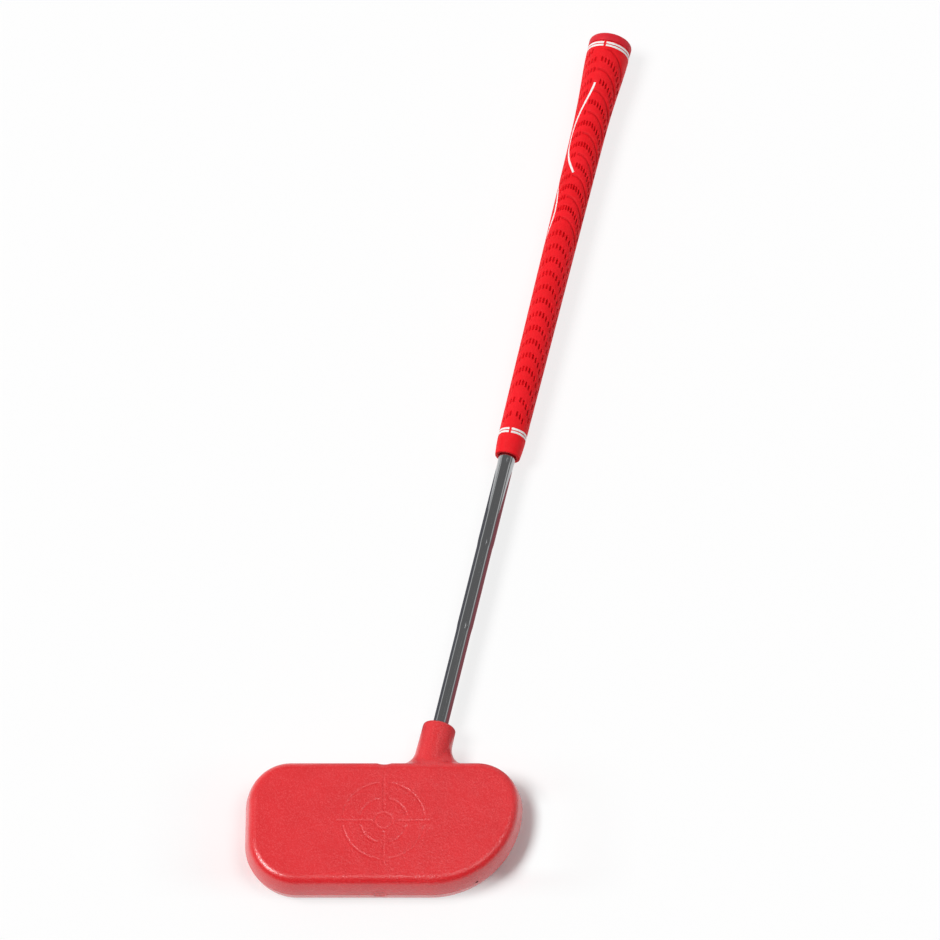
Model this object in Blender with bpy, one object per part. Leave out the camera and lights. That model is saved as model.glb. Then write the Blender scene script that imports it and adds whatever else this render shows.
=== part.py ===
"""Child's mini golf putter, lying on the rear one of its two striking faces.

Origin: middle of the rear striking face. +X points from toe to heel, +Y from the sole up the
club, +Z from the rear striking face to the front one. Lengths are in metres.

Places along the club are heights above the crown, measured up the shaft's axis. Angles round
the grip start at the front and are positive towards the heel.
"""
import math

import bmesh
import bpy
from mathutils import Matrix, Vector

MM = 0.001

# Clearances
FIT_GAP = 0.3 * MM
PAINT_GAP = 0.1 * MM

# Head: a slab with drafted sides, a rounded edge round each face and four unlike corners
HEAD_WIDTH = 152.0 * MM
HEAD_HEIGHT = 75.6 * MM
HEAD_THICKNESS = 26.0 * MM
FACE_DRAFT = math.radians(12.0)
FACE_EDGE_RADIUS = 2.7 * MM
TOE_CROWN_RADIUS = 25.0 * MM
HEEL_CROWN_RADIUS = 25.0 * MM
TOE_SOLE_RADIUS = 29.0 * MM
LEAST_TOE_FLAT = 2.0 * MM
NOTCH_WIDTH = 8.0 * MM
NOTCH_DEPTH = 0.7 * MM

# Target sunk in each striking face
TARGET_RISE = 0.5 * MM
TARGET_RADII = (4.7 * MM, 13.0 * MM, 22.4 * MM)
TARGET_BREAK = 6.6 * MM
TARGET_ARM_END = 25.0 * MM
GROOVE_WIDTH = 2.2 * MM
GROOVE_DEPTH = 0.4 * MM
GROOVE_FLANK = math.radians(45.0)

# Shaft: a tube that widens in steps, leaning towards the heel
SHAFT_LEAN = math.radians(12.84)
SHAFT_TIP_DIAMETER = 8.5 * MM
SHAFT_WALL = 0.9 * MM
SHAFT_EXPOSED = 170.3 * MM
FIRST_STEP_ABOVE_HOSEL = 58.6 * MM
STEP_SPACING = 53.2 * MM
STEP_RISE = 0.45 * MM
STEP_CONE = 5.0 * MM

# Socket moulded into the head, with what holds the shaft's tip in it
TIP_DEPTH = 16.0 * MM
BOND_THICKNESS = 0.5 * MM
BOND_SETBACK = 1.5 * MM
SOCKET_WALL = 1.25 * MM
PLUG_FLANGE = 1.0 * MM
PLUG_LENGTH = 8.0 * MM
ANCHOR_THICKNESS = 3.0 * MM
ANCHOR_WIDTH = 44.0 * MM
ANCHOR_MARGIN = 1.6 * MM

# Hosel: the boss on the crown that the shaft comes out of
HOSEL_X = 25.0 * MM
HOSEL_LENGTH = 24.7 * MM
HOSEL_LIP = 4.0 * MM
HOSEL_WALL = 2.25 * MM
HOSEL_TAPER = math.radians(1.3)
HOSEL_RIM_RADIUS = 1.8 * MM
HOSEL_TOE_FLARE_RADIUS = 8.0 * MM
HOSEL_HEEL_FLARE_RADIUS = 12.0 * MM
HOSEL_DEPTH_FLARE = 1.9 * MM
HOSEL_ROOT = 6.0 * MM

# Grip: a tapered sleeve over the tape, with a flare and a cap at the butt
GRIP_LENGTH = 284.0 * MM
TAPE_THICKNESS = 0.35 * MM
GRIP_MOUTH_WALL = 2.1 * MM
GRIP_BUTT_WALL = 3.6 * MM
GRIP_LIP = 5.0 * MM
NOSE_LENGTH = 14.0 * MM
NOSE_DROP = 0.9 * MM
MOUTH_EDGE_RADIUS = 0.6 * MM
BUTT_FLARE = 2.25 * MM
BUTT_FLARE_SPAN = 31.0 * MM
BUTT_FLARE_PEAK = 8.0 * MM
CAP_LENGTH = 5.8 * MM
CAP_EDGE_RADIUS = 2.2 * MM
CAP_SPIGOT_LENGTH = 5.0 * MM
VENT_DIAMETER = 3.0 * MM

# Slits in the grip. A row arches down both ways from the middle of the front, and of the back:
# it falls by ARCH_FALL for each square radian. Rows are measured from the grip's end.
SLITS_ROUND = 26
SLIT_LENGTH = 3.2 * MM
SLIT_WIDTH = 1.0 * MM
SLIT_DEPTH = 1.0 * MM
SLIT_TO_SLIT = 1.0 * MM
SLIT_TO_LINE = 1.8 * MM
SLIT_TO_RINGS = 4.0 * MM
PATTERN_ANGLE = math.radians(-12.0)
ARCH_FALL = 6.9 * MM
UPPER_ROWS = {"first": 18.8 * MM, "pitch": 14.6 * MM, "count": 8}
HALF_ROWS = {"first": 11.4 * MM, "pitch": 14.6 * MM, "count": 9}
LOWER_ROWS = {"first": 138.0 * MM, "pitch": 9.12 * MM, "count": 12}
LAST_ROWS = {"first": 249.1 * MM, "pitch": 9.3 * MM, "count": 2}
LAST_ROWS_SPACING = math.radians(14.4)
LAST_ROWS_REACH = 5

# White paint in the grip's grooves: a pair of rings near each end, and two bowed lines
PAINT_DEPTH = 0.5 * MM
PAINT_SINK = 0.1 * MM
RING_WIDTH = 1.4 * MM
RING_SPLIT = 0.5 * MM
BUTT_RINGS_FROM_END = 8.4 * MM
MOUTH_RINGS_FROM_MOUTH = 14.5 * MM
RING_BREAK = 1.4 * MM
RING_BREAK_ANGLE = math.radians(-10.0)
LINE_WIDTH = 1.4 * MM
FRONT_LINE = {"start": 35.0 * MM, "length": 62.0 * MM, "skew": 1.4,
              "end_angle": math.radians(-13.0), "bow_angle": math.radians(-66.0)}
SIDE_LINE = {"start": 92.0 * MM, "length": 60.0 * MM, "skew": 1.0,
             "end_angle": math.radians(-118.0), "bow_angle": math.radians(-54.0)}

# Facets
TUBE_SIDES = 24
GRIP_SIDES = SLITS_ROUND
CORNER_STEP = math.radians(7.5)
EDGE_STEPS = 3
NOTCH_STEPS = 6
HOSEL_SIDES = 32
HOSEL_FLARE_STEPS = 6
NOSE_STATIONS = 3
TAPER_STATIONS = 3
FLARE_STATIONS = 9
LINE_STATIONS = 14
SHARP_ANGLE = math.radians(35.0)
CUTTER_REACH = 2.0 * MM
SLIT_CUTTER_REACH = 0.4 * MM

# Sizes that follow from the ones above
HEEL_SOLE_RADIUS = HEAD_HEIGHT - HEEL_CROWN_RADIUS
MID_PLANE = HEAD_THICKNESS / 2
CROWN = HEAD_HEIGHT / 2
TIP_RADIUS = SHAFT_TIP_DIAMETER / 2
BOND_INNER_RADIUS = TIP_RADIUS + FIT_GAP
BOND_OUTER_RADIUS = BOND_INNER_RADIUS + BOND_THICKNESS
SOCKET_INNER_RADIUS = BOND_OUTER_RADIUS + FIT_GAP
SOCKET_OUTER_RADIUS = SOCKET_INNER_RADIUS + SOCKET_WALL
SOCKET_BORE_RADIUS = SOCKET_OUTER_RADIUS + FIT_GAP
HOSEL_RADIUS = SOCKET_BORE_RADIUS + HOSEL_WALL
SHAFT_TIP = -TIP_DEPTH
SOCKET_FOOT = SHAFT_TIP - PLUG_FLANGE - 2 * FIT_GAP
SOCKET_TOP = HOSEL_LENGTH - HOSEL_LIP
FIRST_STEP = HOSEL_LENGTH + FIRST_STEP_ABOVE_HOSEL
GRIP_MOUTH = HOSEL_LENGTH + SHAFT_EXPOSED
GRIP_END = GRIP_MOUTH + GRIP_LENGTH
CAP_FACE = GRIP_END - CAP_LENGTH
SPIGOT_END = CAP_FACE - CAP_SPIGOT_LENGTH
SHAFT_END = SPIGOT_END - FIT_GAP
TAPE_START = GRIP_MOUTH + GRIP_LIP + FIT_GAP
TAPE_BUILD = FIT_GAP + TAPE_THICKNESS + FIT_GAP
# Turns the grip's facets so that a slit lies in the middle of each
GRIP_TURN = PATTERN_ANGLE - math.pi / 2

SHAFT_UP = Vector((math.sin(SHAFT_LEAN), math.cos(SHAFT_LEAN), 0.0))
SHAFT_ACROSS = Vector((math.cos(SHAFT_LEAN), -math.sin(SHAFT_LEAN), 0.0))
SHAFT_FOOT = Vector((HOSEL_X, CROWN, MID_PLANE))
FRONT = Vector((0.0, 0.0, 1.0))


def clear_scene():
    for scene_object in list(bpy.data.objects):
        bpy.data.objects.remove(scene_object, do_unlink=True)


# Materials

def make_material(name, color, roughness, metallic=0.0):
    material = bpy.data.materials.new(name)
    material.use_nodes = True
    shader = material.node_tree.nodes["Principled BSDF"]
    shader.inputs["Base Color"].default_value = (*color, 1.0)
    shader.inputs["Roughness"].default_value = roughness
    shader.inputs["Metallic"].default_value = metallic
    material.diffuse_color = (*color, 1.0)
    return material


# Objects

def make_object(name, shape, material=None, parent=None):
    """Turn a bmesh into a named object. One without a material is a cutter."""
    bmesh.ops.recalc_face_normals(shape, faces=shape.faces)
    mesh = bpy.data.meshes.new(name)
    shape.to_mesh(mesh)
    shape.free()
    piece = bpy.data.objects.new(name, mesh)
    bpy.context.scene.collection.objects.link(piece)
    piece.parent = parent
    if material is None:
        piece.hide_render = True
        piece.display_type = "WIRE"
        return piece
    mesh.materials.append(material)
    mesh.shade_smooth()
    mesh.set_sharp_from_angle(angle=SHARP_ANGLE)
    return piece


def add_boolean(piece, other, operation="DIFFERENCE"):
    modifier = piece.modifiers.new(other.name, "BOOLEAN")
    modifier.operation = operation
    modifier.solver = "EXACT"
    modifier.object = other


def make_shaft_axis():
    """Empty whose +Z runs up the shaft from the crown, with the front at its -Y."""
    axis = bpy.data.objects.new("shaft_axis", None)
    bpy.context.scene.collection.objects.link(axis)
    turn = Matrix((SHAFT_ACROSS, -FRONT, SHAFT_UP)).transposed()
    axis.matrix_world = Matrix.Translation(SHAFT_FOOT) @ turn.to_4x4()
    return axis


# Shapes

def bridge(shape, rings, closed=False):
    """Fill the strips between neighbouring rings. A ring of one vertex is a pole."""
    pairs = list(zip(rings, rings[1:]))
    if closed:
        pairs.append((rings[-1], rings[0]))
    for ring, following in pairs:
        for j in range(max(len(ring), len(following))):
            corners = (ring[j % len(ring)], ring[(j + 1) % len(ring)],
                       following[(j + 1) % len(following)], following[j % len(following)])
            distinct = list(dict.fromkeys(corners))
            if len(distinct) > 2:
                shape.faces.new(distinct)


def turned(profile, sides, first_angle=0.0):
    """Solid of a closed (radius, height) outline turned about Z."""
    shape = bmesh.new()
    rings = []
    for radius, height in profile:
        count = sides if radius > 0 else 1
        angles = [first_angle + j * math.tau / count for j in range(count)]
        rings.append([shape.verts.new((radius * math.cos(angle), radius * math.sin(angle), height))
                      for angle in angles])
    bridge(shape, rings, closed=True)
    return shape


def turned_part_way(profile, start, end, steps):
    """Solid of a closed (radius, height) outline turned about Z from one angle to another."""
    shape = bmesh.new()
    rings = []
    for i in range(steps + 1):
        angle = start + (end - start) * i / steps
        rings.append([shape.verts.new(on_grip(radius, angle, height)) for radius, height in profile])
    bridge(shape, rings)
    shape.faces.new(rings[0])
    shape.faces.new(rings[-1])
    return shape


def rod(radius, bottom, top, sides=TUBE_SIDES):
    return turned([(0.0, bottom), (radius, bottom), (radius, top), (0.0, top)], sides)


def tube(inner_radius, outer_radius, bottom, top):
    outline = [(inner_radius, bottom), (outer_radius, bottom), (outer_radius, top), (inner_radius, top)]
    return turned(outline, TUBE_SIDES)


def box(low, high):
    shape = bmesh.new()
    size = [b - a for a, b in zip(low, high)]
    middle = [(a + b) / 2 for a, b in zip(low, high)]
    bmesh.ops.create_cube(shape, size=1.0, matrix=Matrix.Translation(middle) @ Matrix.Diagonal((*size, 1.0)))
    return shape


def arc(centre, radius, start, end, steps):
    """Points on a circle from one angle to another, both ends included."""
    return [(centre[0] + radius * math.cos(start + (end - start) * i / steps),
             centre[1] + radius * math.sin(start + (end - start) * i / steps)) for i in range(steps + 1)]


# Shaft

def shaft_radius(height):
    """Outer radius of the stepped tube at a height above the crown."""
    radius = TIP_RADIUS
    step = FIRST_STEP
    while step + STEP_CONE < SHAFT_END:
        radius += STEP_RISE / 2 * min(1.0, max(0.0, (height - step) / STEP_CONE))
        step += STEP_SPACING
    return radius


def shaft_stations(start, end):
    """Heights from start to end at which the stepped tube's radius changes its slope."""
    heights = [start]
    step = FIRST_STEP
    while step + STEP_CONE < SHAFT_END:
        heights += [height for height in (step, step + STEP_CONE) if start < height < end]
        step += STEP_SPACING
    return heights + [end]


def sheath(inner_offset, outer_offset, start, end):
    """Outline of a layer that follows the stepped tube between two offsets from its surface."""
    heights = shaft_stations(start, end)
    outer = [(shaft_radius(height) + outer_offset, height) for height in heights]
    inner = [(shaft_radius(height) + inner_offset, height) for height in reversed(heights)]
    return outer + inner


def make_shaft(axis, chrome):
    make_object("shaft", turned(sheath(-SHAFT_WALL, 0.0, SHAFT_TIP, SHAFT_END), TUBE_SIDES), chrome, axis)


# Socket in the head

def make_socket_tube(axis, steel):
    shape = tube(SOCKET_INNER_RADIUS, SOCKET_OUTER_RADIUS, SOCKET_FOOT, SOCKET_TOP)
    make_object("socket_tube", shape, steel, axis)


def make_anchor_plate(axis, steel):
    """Plate round the foot of the socket tube, which keys it in the rubber."""
    half_depth = SOCKET_BORE_RADIUS + ANCHOR_MARGIN
    shape = box((-ANCHOR_WIDTH / 2, -half_depth, SOCKET_FOOT),
                (ANCHOR_WIDTH / 2, half_depth, SOCKET_FOOT + ANCHOR_THICKNESS))
    plate = make_object("anchor_plate", shape, steel, axis)
    hole = rod(SOCKET_BORE_RADIUS, SOCKET_FOOT - CUTTER_REACH, SOCKET_FOOT + ANCHOR_THICKNESS + CUTTER_REACH)
    add_boolean(plate, make_object("cut_anchor_hole", hole, parent=axis))


def make_tip_bond(axis, epoxy):
    shape = tube(BOND_INNER_RADIUS, BOND_OUTER_RADIUS, SHAFT_TIP + BOND_SETBACK, SOCKET_TOP - BOND_SETBACK)
    make_object("tip_bond", shape, epoxy, axis)


def make_tip_plug(axis, plastic):
    """Flanged plug in the tube's lower end."""
    stem = TIP_RADIUS - SHAFT_WALL - FIT_GAP
    flange_top = SHAFT_TIP - FIT_GAP
    outline = [(0.0, flange_top - PLUG_FLANGE), (TIP_RADIUS, flange_top - PLUG_FLANGE),
               (TIP_RADIUS, flange_top), (stem, flange_top),
               (stem, flange_top + PLUG_LENGTH - stem / 2), (stem / 2, flange_top + PLUG_LENGTH),
               (0.0, flange_top + PLUG_LENGTH)]
    make_object("tip_plug", turned(outline, TUBE_SIDES), plastic, axis)


# Head

def notched_crown_line(inset):
    """Points of the shallow sight notch over the target, from heel to toe."""
    half = NOTCH_WIDTH / 2
    radius = (half ** 2 + NOTCH_DEPTH ** 2) / (2 * NOTCH_DEPTH)
    swing = math.asin(half / radius)
    centre = (0.0, CROWN - inset + radius - NOTCH_DEPTH)
    return arc(centre, radius, swing - math.pi / 2, -swing - math.pi / 2, NOTCH_STEPS)


def head_outline(inset):
    """Outline of the slab, drawn in by inset from the parting line, starting at the heel."""
    toe_sole = min(TOE_SOLE_RADIUS, HEAD_HEIGHT - TOE_CROWN_RADIUS - LEAST_TOE_FLAT)
    half_width = HEAD_WIDTH / 2
    half_height = HEAD_HEIGHT / 2
    corners = ((HEEL_CROWN_RADIUS, 1, 1), (TOE_CROWN_RADIUS, -1, 1), (toe_sole, -1, -1),
               (HEEL_SOLE_RADIUS, 1, -1))
    points = []
    for quarter, (radius, x_side, y_side) in enumerate(corners):
        centre = (x_side * (half_width - radius), y_side * (half_height - radius))
        start = quarter * math.pi / 2
        steps = round(math.pi / 2 / CORNER_STEP)
        points += arc(centre, radius - inset, start, start + math.pi / 2, steps)
        if quarter == 0:
            points += notched_crown_line(inset)
    # The heel's two arcs meet in one point
    return points[:-1]


def edge_levels():
    """(inset, z) of the slab's side, from the rear face to the front face."""
    tangent_z = FACE_EDGE_RADIUS * (1 - math.sin(FACE_DRAFT))
    centre_inset = (MID_PLANE - tangent_z) * math.tan(FACE_DRAFT) + FACE_EDGE_RADIUS * math.cos(FACE_DRAFT)
    rear = arc((-centre_inset, FACE_EDGE_RADIUS), FACE_EDGE_RADIUS, -math.pi / 2, -FACE_DRAFT, EDGE_STEPS)
    rear = [(-x, z) for x, z in rear]
    front = [(inset, HEAD_THICKNESS - z) for inset, z in reversed(rear)]
    return rear + [(0.0, MID_PLANE)] + front


def head_slab():
    shape = bmesh.new()
    rings = [[shape.verts.new((x, y, z)) for x, y in head_outline(inset)] for inset, z in edge_levels()]
    bridge(shape, rings)
    shape.faces.new(rings[0])
    shape.faces.new(rings[-1])
    return shape


def hosel_radius(height):
    return HOSEL_RADIUS + (HOSEL_LENGTH - height) * math.tan(HOSEL_TAPER)


def hosel_side(side, flare_radius):
    """One edge of the hosel seen from the front, from its rim down to the crown line.

    side is -1 for the edge towards the toe and 1 for the edge towards the heel. The last
    stretch is an arc of flare_radius that is tangent to the edge and to the crown.
    """
    def edge(height):
        return SHAFT_FOOT + SHAFT_UP * height + SHAFT_ACROSS * side * hosel_radius(height)

    top = edge(HOSEL_LENGTH - HOSEL_RIM_RADIUS)
    up = (top - edge(0.0)).normalized()
    corner = top - up * ((top.y - CROWN) / up.y)
    along = Vector((side, 0.0, 0.0))
    half_angle = up.angle(along) / 2
    centre = corner + (up + along).normalized() * flare_radius / math.sin(half_angle)
    spoke = corner + up * flare_radius / math.tan(half_angle) - centre
    sweep = side * (math.pi - 2 * half_angle)
    points = [top]
    for i in range(HOSEL_FLARE_STEPS + 1):
        points.append(centre + Matrix.Rotation(sweep * i / HOSEL_FLARE_STEPS, 3, "Z") @ spoke)
    return points


def hosel_ring(shape, toe_side, heel_side, half_depth, droop):
    """Oval ring between two edge points. droop lowers it fore and aft to follow the draft."""
    middle = (toe_side + heel_side) / 2
    reach = (heel_side - toe_side) / 2
    ring = []
    for j in range(HOSEL_SIDES):
        angle = math.tau * j / HOSEL_SIDES
        depth = half_depth * math.sin(angle)
        point = middle + reach * math.cos(angle) + FRONT * depth
        point.y -= droop * abs(depth)
        ring.append(shape.verts.new(point))
    return ring


def hosel_boss():
    shape = bmesh.new()
    rings = []
    rim_radius = hosel_radius(HOSEL_LENGTH - HOSEL_RIM_RADIUS)
    rim = arc((rim_radius - HOSEL_RIM_RADIUS, HOSEL_LENGTH - HOSEL_RIM_RADIUS), HOSEL_RIM_RADIUS,
              math.pi / 2, 0.0, EDGE_STEPS)
    for radius, height in rim[:-1]:
        middle = SHAFT_FOOT + SHAFT_UP * height
        rings.append(hosel_ring(shape, middle - SHAFT_ACROSS * radius, middle + SHAFT_ACROSS * radius,
                                radius, 0.0))
    base_radius = hosel_radius(0.0)
    depth_flare = min(HOSEL_DEPTH_FLARE, MID_PLANE - FACE_EDGE_RADIUS / 2 - base_radius)
    toe_edge = hosel_side(-1, HOSEL_TOE_FLARE_RADIUS)
    heel_edge = hosel_side(1, HOSEL_HEEL_FLARE_RADIUS)
    for i, (toe_side, heel_side) in enumerate(zip(toe_edge, heel_edge)):
        share = max(0.0, (i - 1) / HOSEL_FLARE_STEPS)
        straight = rim_radius if i == 0 else base_radius
        half_depth = straight + depth_flare * (1 - math.sqrt(1 - share ** 2))
        rings.append(hosel_ring(shape, toe_side, heel_side, half_depth, share * math.tan(FACE_DRAFT)))
    sink = Vector((0.0, HOSEL_ROOT, 0.0))
    rings.append(hosel_ring(shape, toe_side - sink, heel_side - sink, half_depth, 0.0))
    bridge(shape, rings)
    shape.faces.new(rings[0])
    shape.faces.new(rings[-1])
    return shape


def groove_ring(radius, start, end, steps):
    """Wedge-shaped cutter along an arc of the target. It dips GROOVE_DEPTH below z = 0."""
    rings = []
    shape = bmesh.new()
    for i in range(steps + 1):
        angle = start + (end - start) * i / steps
        outward = Vector((math.cos(angle), math.sin(angle), 0.0))
        rings.append([shape.verts.new(outward * (radius + x) + FRONT * z) for x, z in groove_section()])
    whole_turn = end - start > math.tau - CORNER_STEP / 2
    if whole_turn:
        for vertex in rings.pop():
            shape.verts.remove(vertex)
    bridge(shape, rings, closed=whole_turn)
    if not whole_turn:
        shape.faces.new(rings[0])
        shape.faces.new(rings[-1])
    return shape


def groove_section():
    """Groove's section as (across, height): flanks at GROOVE_FLANK, open towards +Z."""
    spread = math.tan(GROOVE_FLANK)
    bottom = GROOVE_WIDTH / 2 - GROOVE_DEPTH * spread
    top = GROOVE_WIDTH / 2 + CUTTER_REACH * spread
    return [(-bottom, -GROOVE_DEPTH), (bottom, -GROOVE_DEPTH), (top, CUTTER_REACH), (-top, CUTTER_REACH)]


def groove_arm(start, end, angle):
    """Wedge-shaped cutter along one arm of the target's cross."""
    shape = bmesh.new()
    outward = Vector((math.cos(angle), math.sin(angle), 0.0))
    sideways = Vector((-outward.y, outward.x, 0.0))
    rings = [[shape.verts.new(outward * distance + sideways * x + FRONT * z) for x, z in groove_section()]
             for distance in (start, end)]
    bridge(shape, rings)
    shape.faces.new(rings[0])
    shape.faces.new(rings[-1])
    return shape


def target_grooves():
    """Cutters of the target: a small whole ring, two rings broken at the cross, and the cross."""
    inner, *broken = TARGET_RADII
    quarter = math.pi / 2
    grooves = {"centre": groove_ring(inner, 0.0, math.tau, round(math.tau / CORNER_STEP / 3))}
    for index, radius in enumerate(broken):
        gap = math.asin(TARGET_BREAK / 2 / radius)
        for k in range(4):
            steps = round((quarter - 2 * gap) / CORNER_STEP * (index + 1) / 2)
            name = f"arc_{index}_{k}"
            grooves[name] = groove_ring(radius, k * quarter + gap, (k + 1) * quarter - gap, steps)
    for k in range(4):
        grooves[f"arm_{k}"] = groove_arm(inner + GROOVE_WIDTH, TARGET_ARM_END, k * quarter)
    return grooves


def cut_target(head, face, turn):
    for name, groove in target_grooves().items():
        bmesh.ops.transform(groove, matrix=turn, verts=groove.verts)
        add_boolean(head, make_object(f"cut_{face}_{name}", groove))


def make_head(axis, rubber):
    head = make_object("head", head_slab(), rubber)
    add_boolean(head, make_object("add_hosel", hosel_boss()), "UNION")
    cavity_top = SOCKET_TOP + FIT_GAP
    rim_top = HOSEL_LENGTH + CUTTER_REACH
    bore_foot = SOCKET_FOOT + ANCHOR_THICKNESS / 2
    bore = turned([(0.0, bore_foot), (SOCKET_BORE_RADIUS, bore_foot), (SOCKET_BORE_RADIUS, cavity_top),
                   (BOND_INNER_RADIUS, cavity_top), (BOND_INNER_RADIUS, rim_top), (0.0, rim_top)],
                  TUBE_SIDES)
    half_depth = SOCKET_BORE_RADIUS + ANCHOR_MARGIN + FIT_GAP
    half_width = ANCHOR_WIDTH / 2 + FIT_GAP
    anchor = box((-half_width, -half_depth, SOCKET_FOOT - FIT_GAP),
                 (half_width, half_depth, SOCKET_FOOT + ANCHOR_THICKNESS + FIT_GAP))
    add_boolean(head, make_object("cut_anchor", anchor, parent=axis))
    add_boolean(head, make_object("cut_bore", bore, parent=axis))
    cut_target(head, "front", Matrix.Translation((0.0, TARGET_RISE, HEAD_THICKNESS)))
    cut_target(head, "rear", Matrix.Translation((0.0, TARGET_RISE, 0.0)) @ Matrix.Rotation(math.pi, 4, "Y"))


# Grip

def on_grip(radius, angle, height):
    """Point at a radius and height on the shaft's axis frame, angle from the front to the heel."""
    return Vector((radius * math.sin(angle), -radius * math.cos(angle), height))


def grip_radius(height):
    """Outer radius of the grip: a straight taper, drawn in at the mouth and flared at the butt."""
    mouth = shaft_radius(GRIP_MOUTH) + TAPE_BUILD + GRIP_MOUTH_WALL
    butt = shaft_radius(SHAFT_END) + TAPE_BUILD + GRIP_BUTT_WALL
    along = (height - GRIP_MOUTH) / GRIP_LENGTH
    from_peak = (GRIP_END - BUTT_FLARE_PEAK - height) / BUTT_FLARE_SPAN
    flare = BUTT_FLARE * math.exp(-max(0.0, from_peak) ** 2)
    below_nose = (GRIP_MOUTH + NOSE_LENGTH - height) / NOSE_LENGTH
    return mouth + (butt - mouth) * along + flare - NOSE_DROP * max(0.0, below_nose) ** 2


def grip_heights(bottom, top):
    """Stations up the grip's outside: close on the nose and the flare, far apart between them."""
    flare_start = GRIP_END - BUTT_FLARE_PEAK - 2 * BUTT_FLARE_SPAN
    stretches = ((bottom, GRIP_MOUTH + NOSE_LENGTH, NOSE_STATIONS),
                 (GRIP_MOUTH + NOSE_LENGTH, flare_start, TAPER_STATIONS),
                 (flare_start, top, FLARE_STATIONS))
    heights = []
    for start, end, count in stretches:
        heights += [start + (end - start) * i / count for i in range(count)]
    return heights + [top]


def slit_is_clear(angle, height):
    """Whether a slit keeps its distance from the painted rings and lines."""
    top = GRIP_END - BUTT_RINGS_FROM_END - SLIT_TO_RINGS
    bottom = GRIP_MOUTH + MOUTH_RINGS_FROM_MOUTH + SLIT_TO_RINGS
    if not bottom < height < top:
        return False
    slit = [on_grip(grip_radius(height), angle, height + SLIT_LENGTH * end) for end in (-0.5, 0.0, 0.5)]
    line_points = [line_point(line, i / (4 * LINE_STATIONS), 0.0)
                   for line in (FRONT_LINE, SIDE_LINE) for i in range(4 * LINE_STATIONS + 1)]
    return min((a - b).length for a in slit for b in line_points) > SLIT_TO_LINE


def slit_places():
    """(angle, height) of the middle of every slit. The back has the front's rows, half a turn on."""
    reach = SLITS_ROUND // 4
    columns = [math.tau / SLITS_ROUND * (k + 0.5) for k in range(-reach, reach + 1)]
    last_columns = [LAST_ROWS_SPACING * k for k in range(-LAST_ROWS_REACH, LAST_ROWS_REACH + 1) if k != 0]
    heights = {}
    for rows, angles in ((UPPER_ROWS, columns), (HALF_ROWS, columns[:reach]), (LOWER_ROWS, columns),
                         (LAST_ROWS, last_columns)):
        for row in range(rows["count"]):
            for angle in angles:
                height = GRIP_END - rows["first"] - rows["pitch"] * row - ARCH_FALL * angle ** 2
                column = heights.setdefault(angle, [])
                if all(abs(height - other) > SLIT_LENGTH + SLIT_TO_SLIT for other in column):
                    column.append(height)
    return [(angle + side, height) for angle, column in heights.items() for height in column
            for side in (PATTERN_ANGLE, PATTERN_ANGLE + math.pi) if slit_is_clear(angle + side, height)]


def slit_wedges():
    """Cutters of all the slits: wedges that stand on the facets' middles, edge inwards."""
    shape = bmesh.new()
    half_width = SLIT_WIDTH / 2 * (1 + SLIT_CUTTER_REACH / SLIT_DEPTH)
    for angle, height in slit_places():
        radius = grip_radius(height) * math.cos(math.pi / GRIP_SIDES)
        sideways = on_grip(half_width, angle + math.pi / 2, 0.0)
        rings = []
        for end in (height - SLIT_LENGTH / 2, height + SLIT_LENGTH / 2):
            brink = on_grip(radius + SLIT_CUTTER_REACH, angle, end)
            section = (on_grip(radius - SLIT_DEPTH, angle, end), brink + sideways, brink - sideways)
            rings.append([shape.verts.new(point) for point in section])
        bridge(shape, rings)
        shape.faces.new(rings[0])
        shape.faces.new(rings[1])
    return shape


def make_grip_sleeve(axis, rubber, cutters):
    """Sleeve whose bore follows the tape and closes on the shaft at the lip."""
    top = CAP_FACE - FIT_GAP
    mouth_radius = grip_radius(GRIP_MOUTH)
    lip_radius = shaft_radius(GRIP_MOUTH) + FIT_GAP
    lip_top = GRIP_MOUTH + GRIP_LIP
    edge = arc((mouth_radius - MOUTH_EDGE_RADIUS, GRIP_MOUTH + MOUTH_EDGE_RADIUS), MOUTH_EDGE_RADIUS,
               -math.pi / 2, 0.0, EDGE_STEPS)
    outside = [(grip_radius(height), height) for height in grip_heights(edge[-1][1], top)[1:]]
    bore = [(shaft_radius(height) + TAPE_BUILD, height) for height in shaft_stations(lip_top, SHAFT_END)]
    bore.append((bore[-1][0], top))
    outline = edge + outside + bore[::-1] + [(lip_radius, lip_top), (lip_radius, GRIP_MOUTH)]
    sleeve = make_object("grip_sleeve", turned(outline, GRIP_SIDES, GRIP_TURN), rubber, axis)
    for cutter in cutters:
        add_boolean(sleeve, cutter)


def make_butt_cap(axis, rubber):
    """Cap with a rounded edge, a spigot in the sleeve's bore and a vent through both."""
    face_radius = grip_radius(CAP_FACE)
    end_radius = grip_radius(GRIP_END)
    spigot = shaft_radius(SHAFT_END) + TAPE_BUILD - FIT_GAP
    vent = VENT_DIAMETER / 2
    rounding = arc((end_radius - CAP_EDGE_RADIUS, GRIP_END - CAP_EDGE_RADIUS), CAP_EDGE_RADIUS,
                   0.0, math.pi / 2, 2 * EDGE_STEPS)
    outline = [(vent, SPIGOT_END), (spigot, SPIGOT_END), (spigot, CAP_FACE), (face_radius, CAP_FACE)]
    outline += rounding + [(vent, GRIP_END)]
    make_object("butt_cap", turned(outline, GRIP_SIDES, GRIP_TURN), rubber, axis)


def make_grip_tape(axis, tape):
    outline = sheath(FIT_GAP, FIT_GAP + TAPE_THICKNESS, TAPE_START, SHAFT_END)
    make_object("grip_tape", turned(outline, TUBE_SIDES), tape, axis)


# Paint in the grip's grooves

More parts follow.
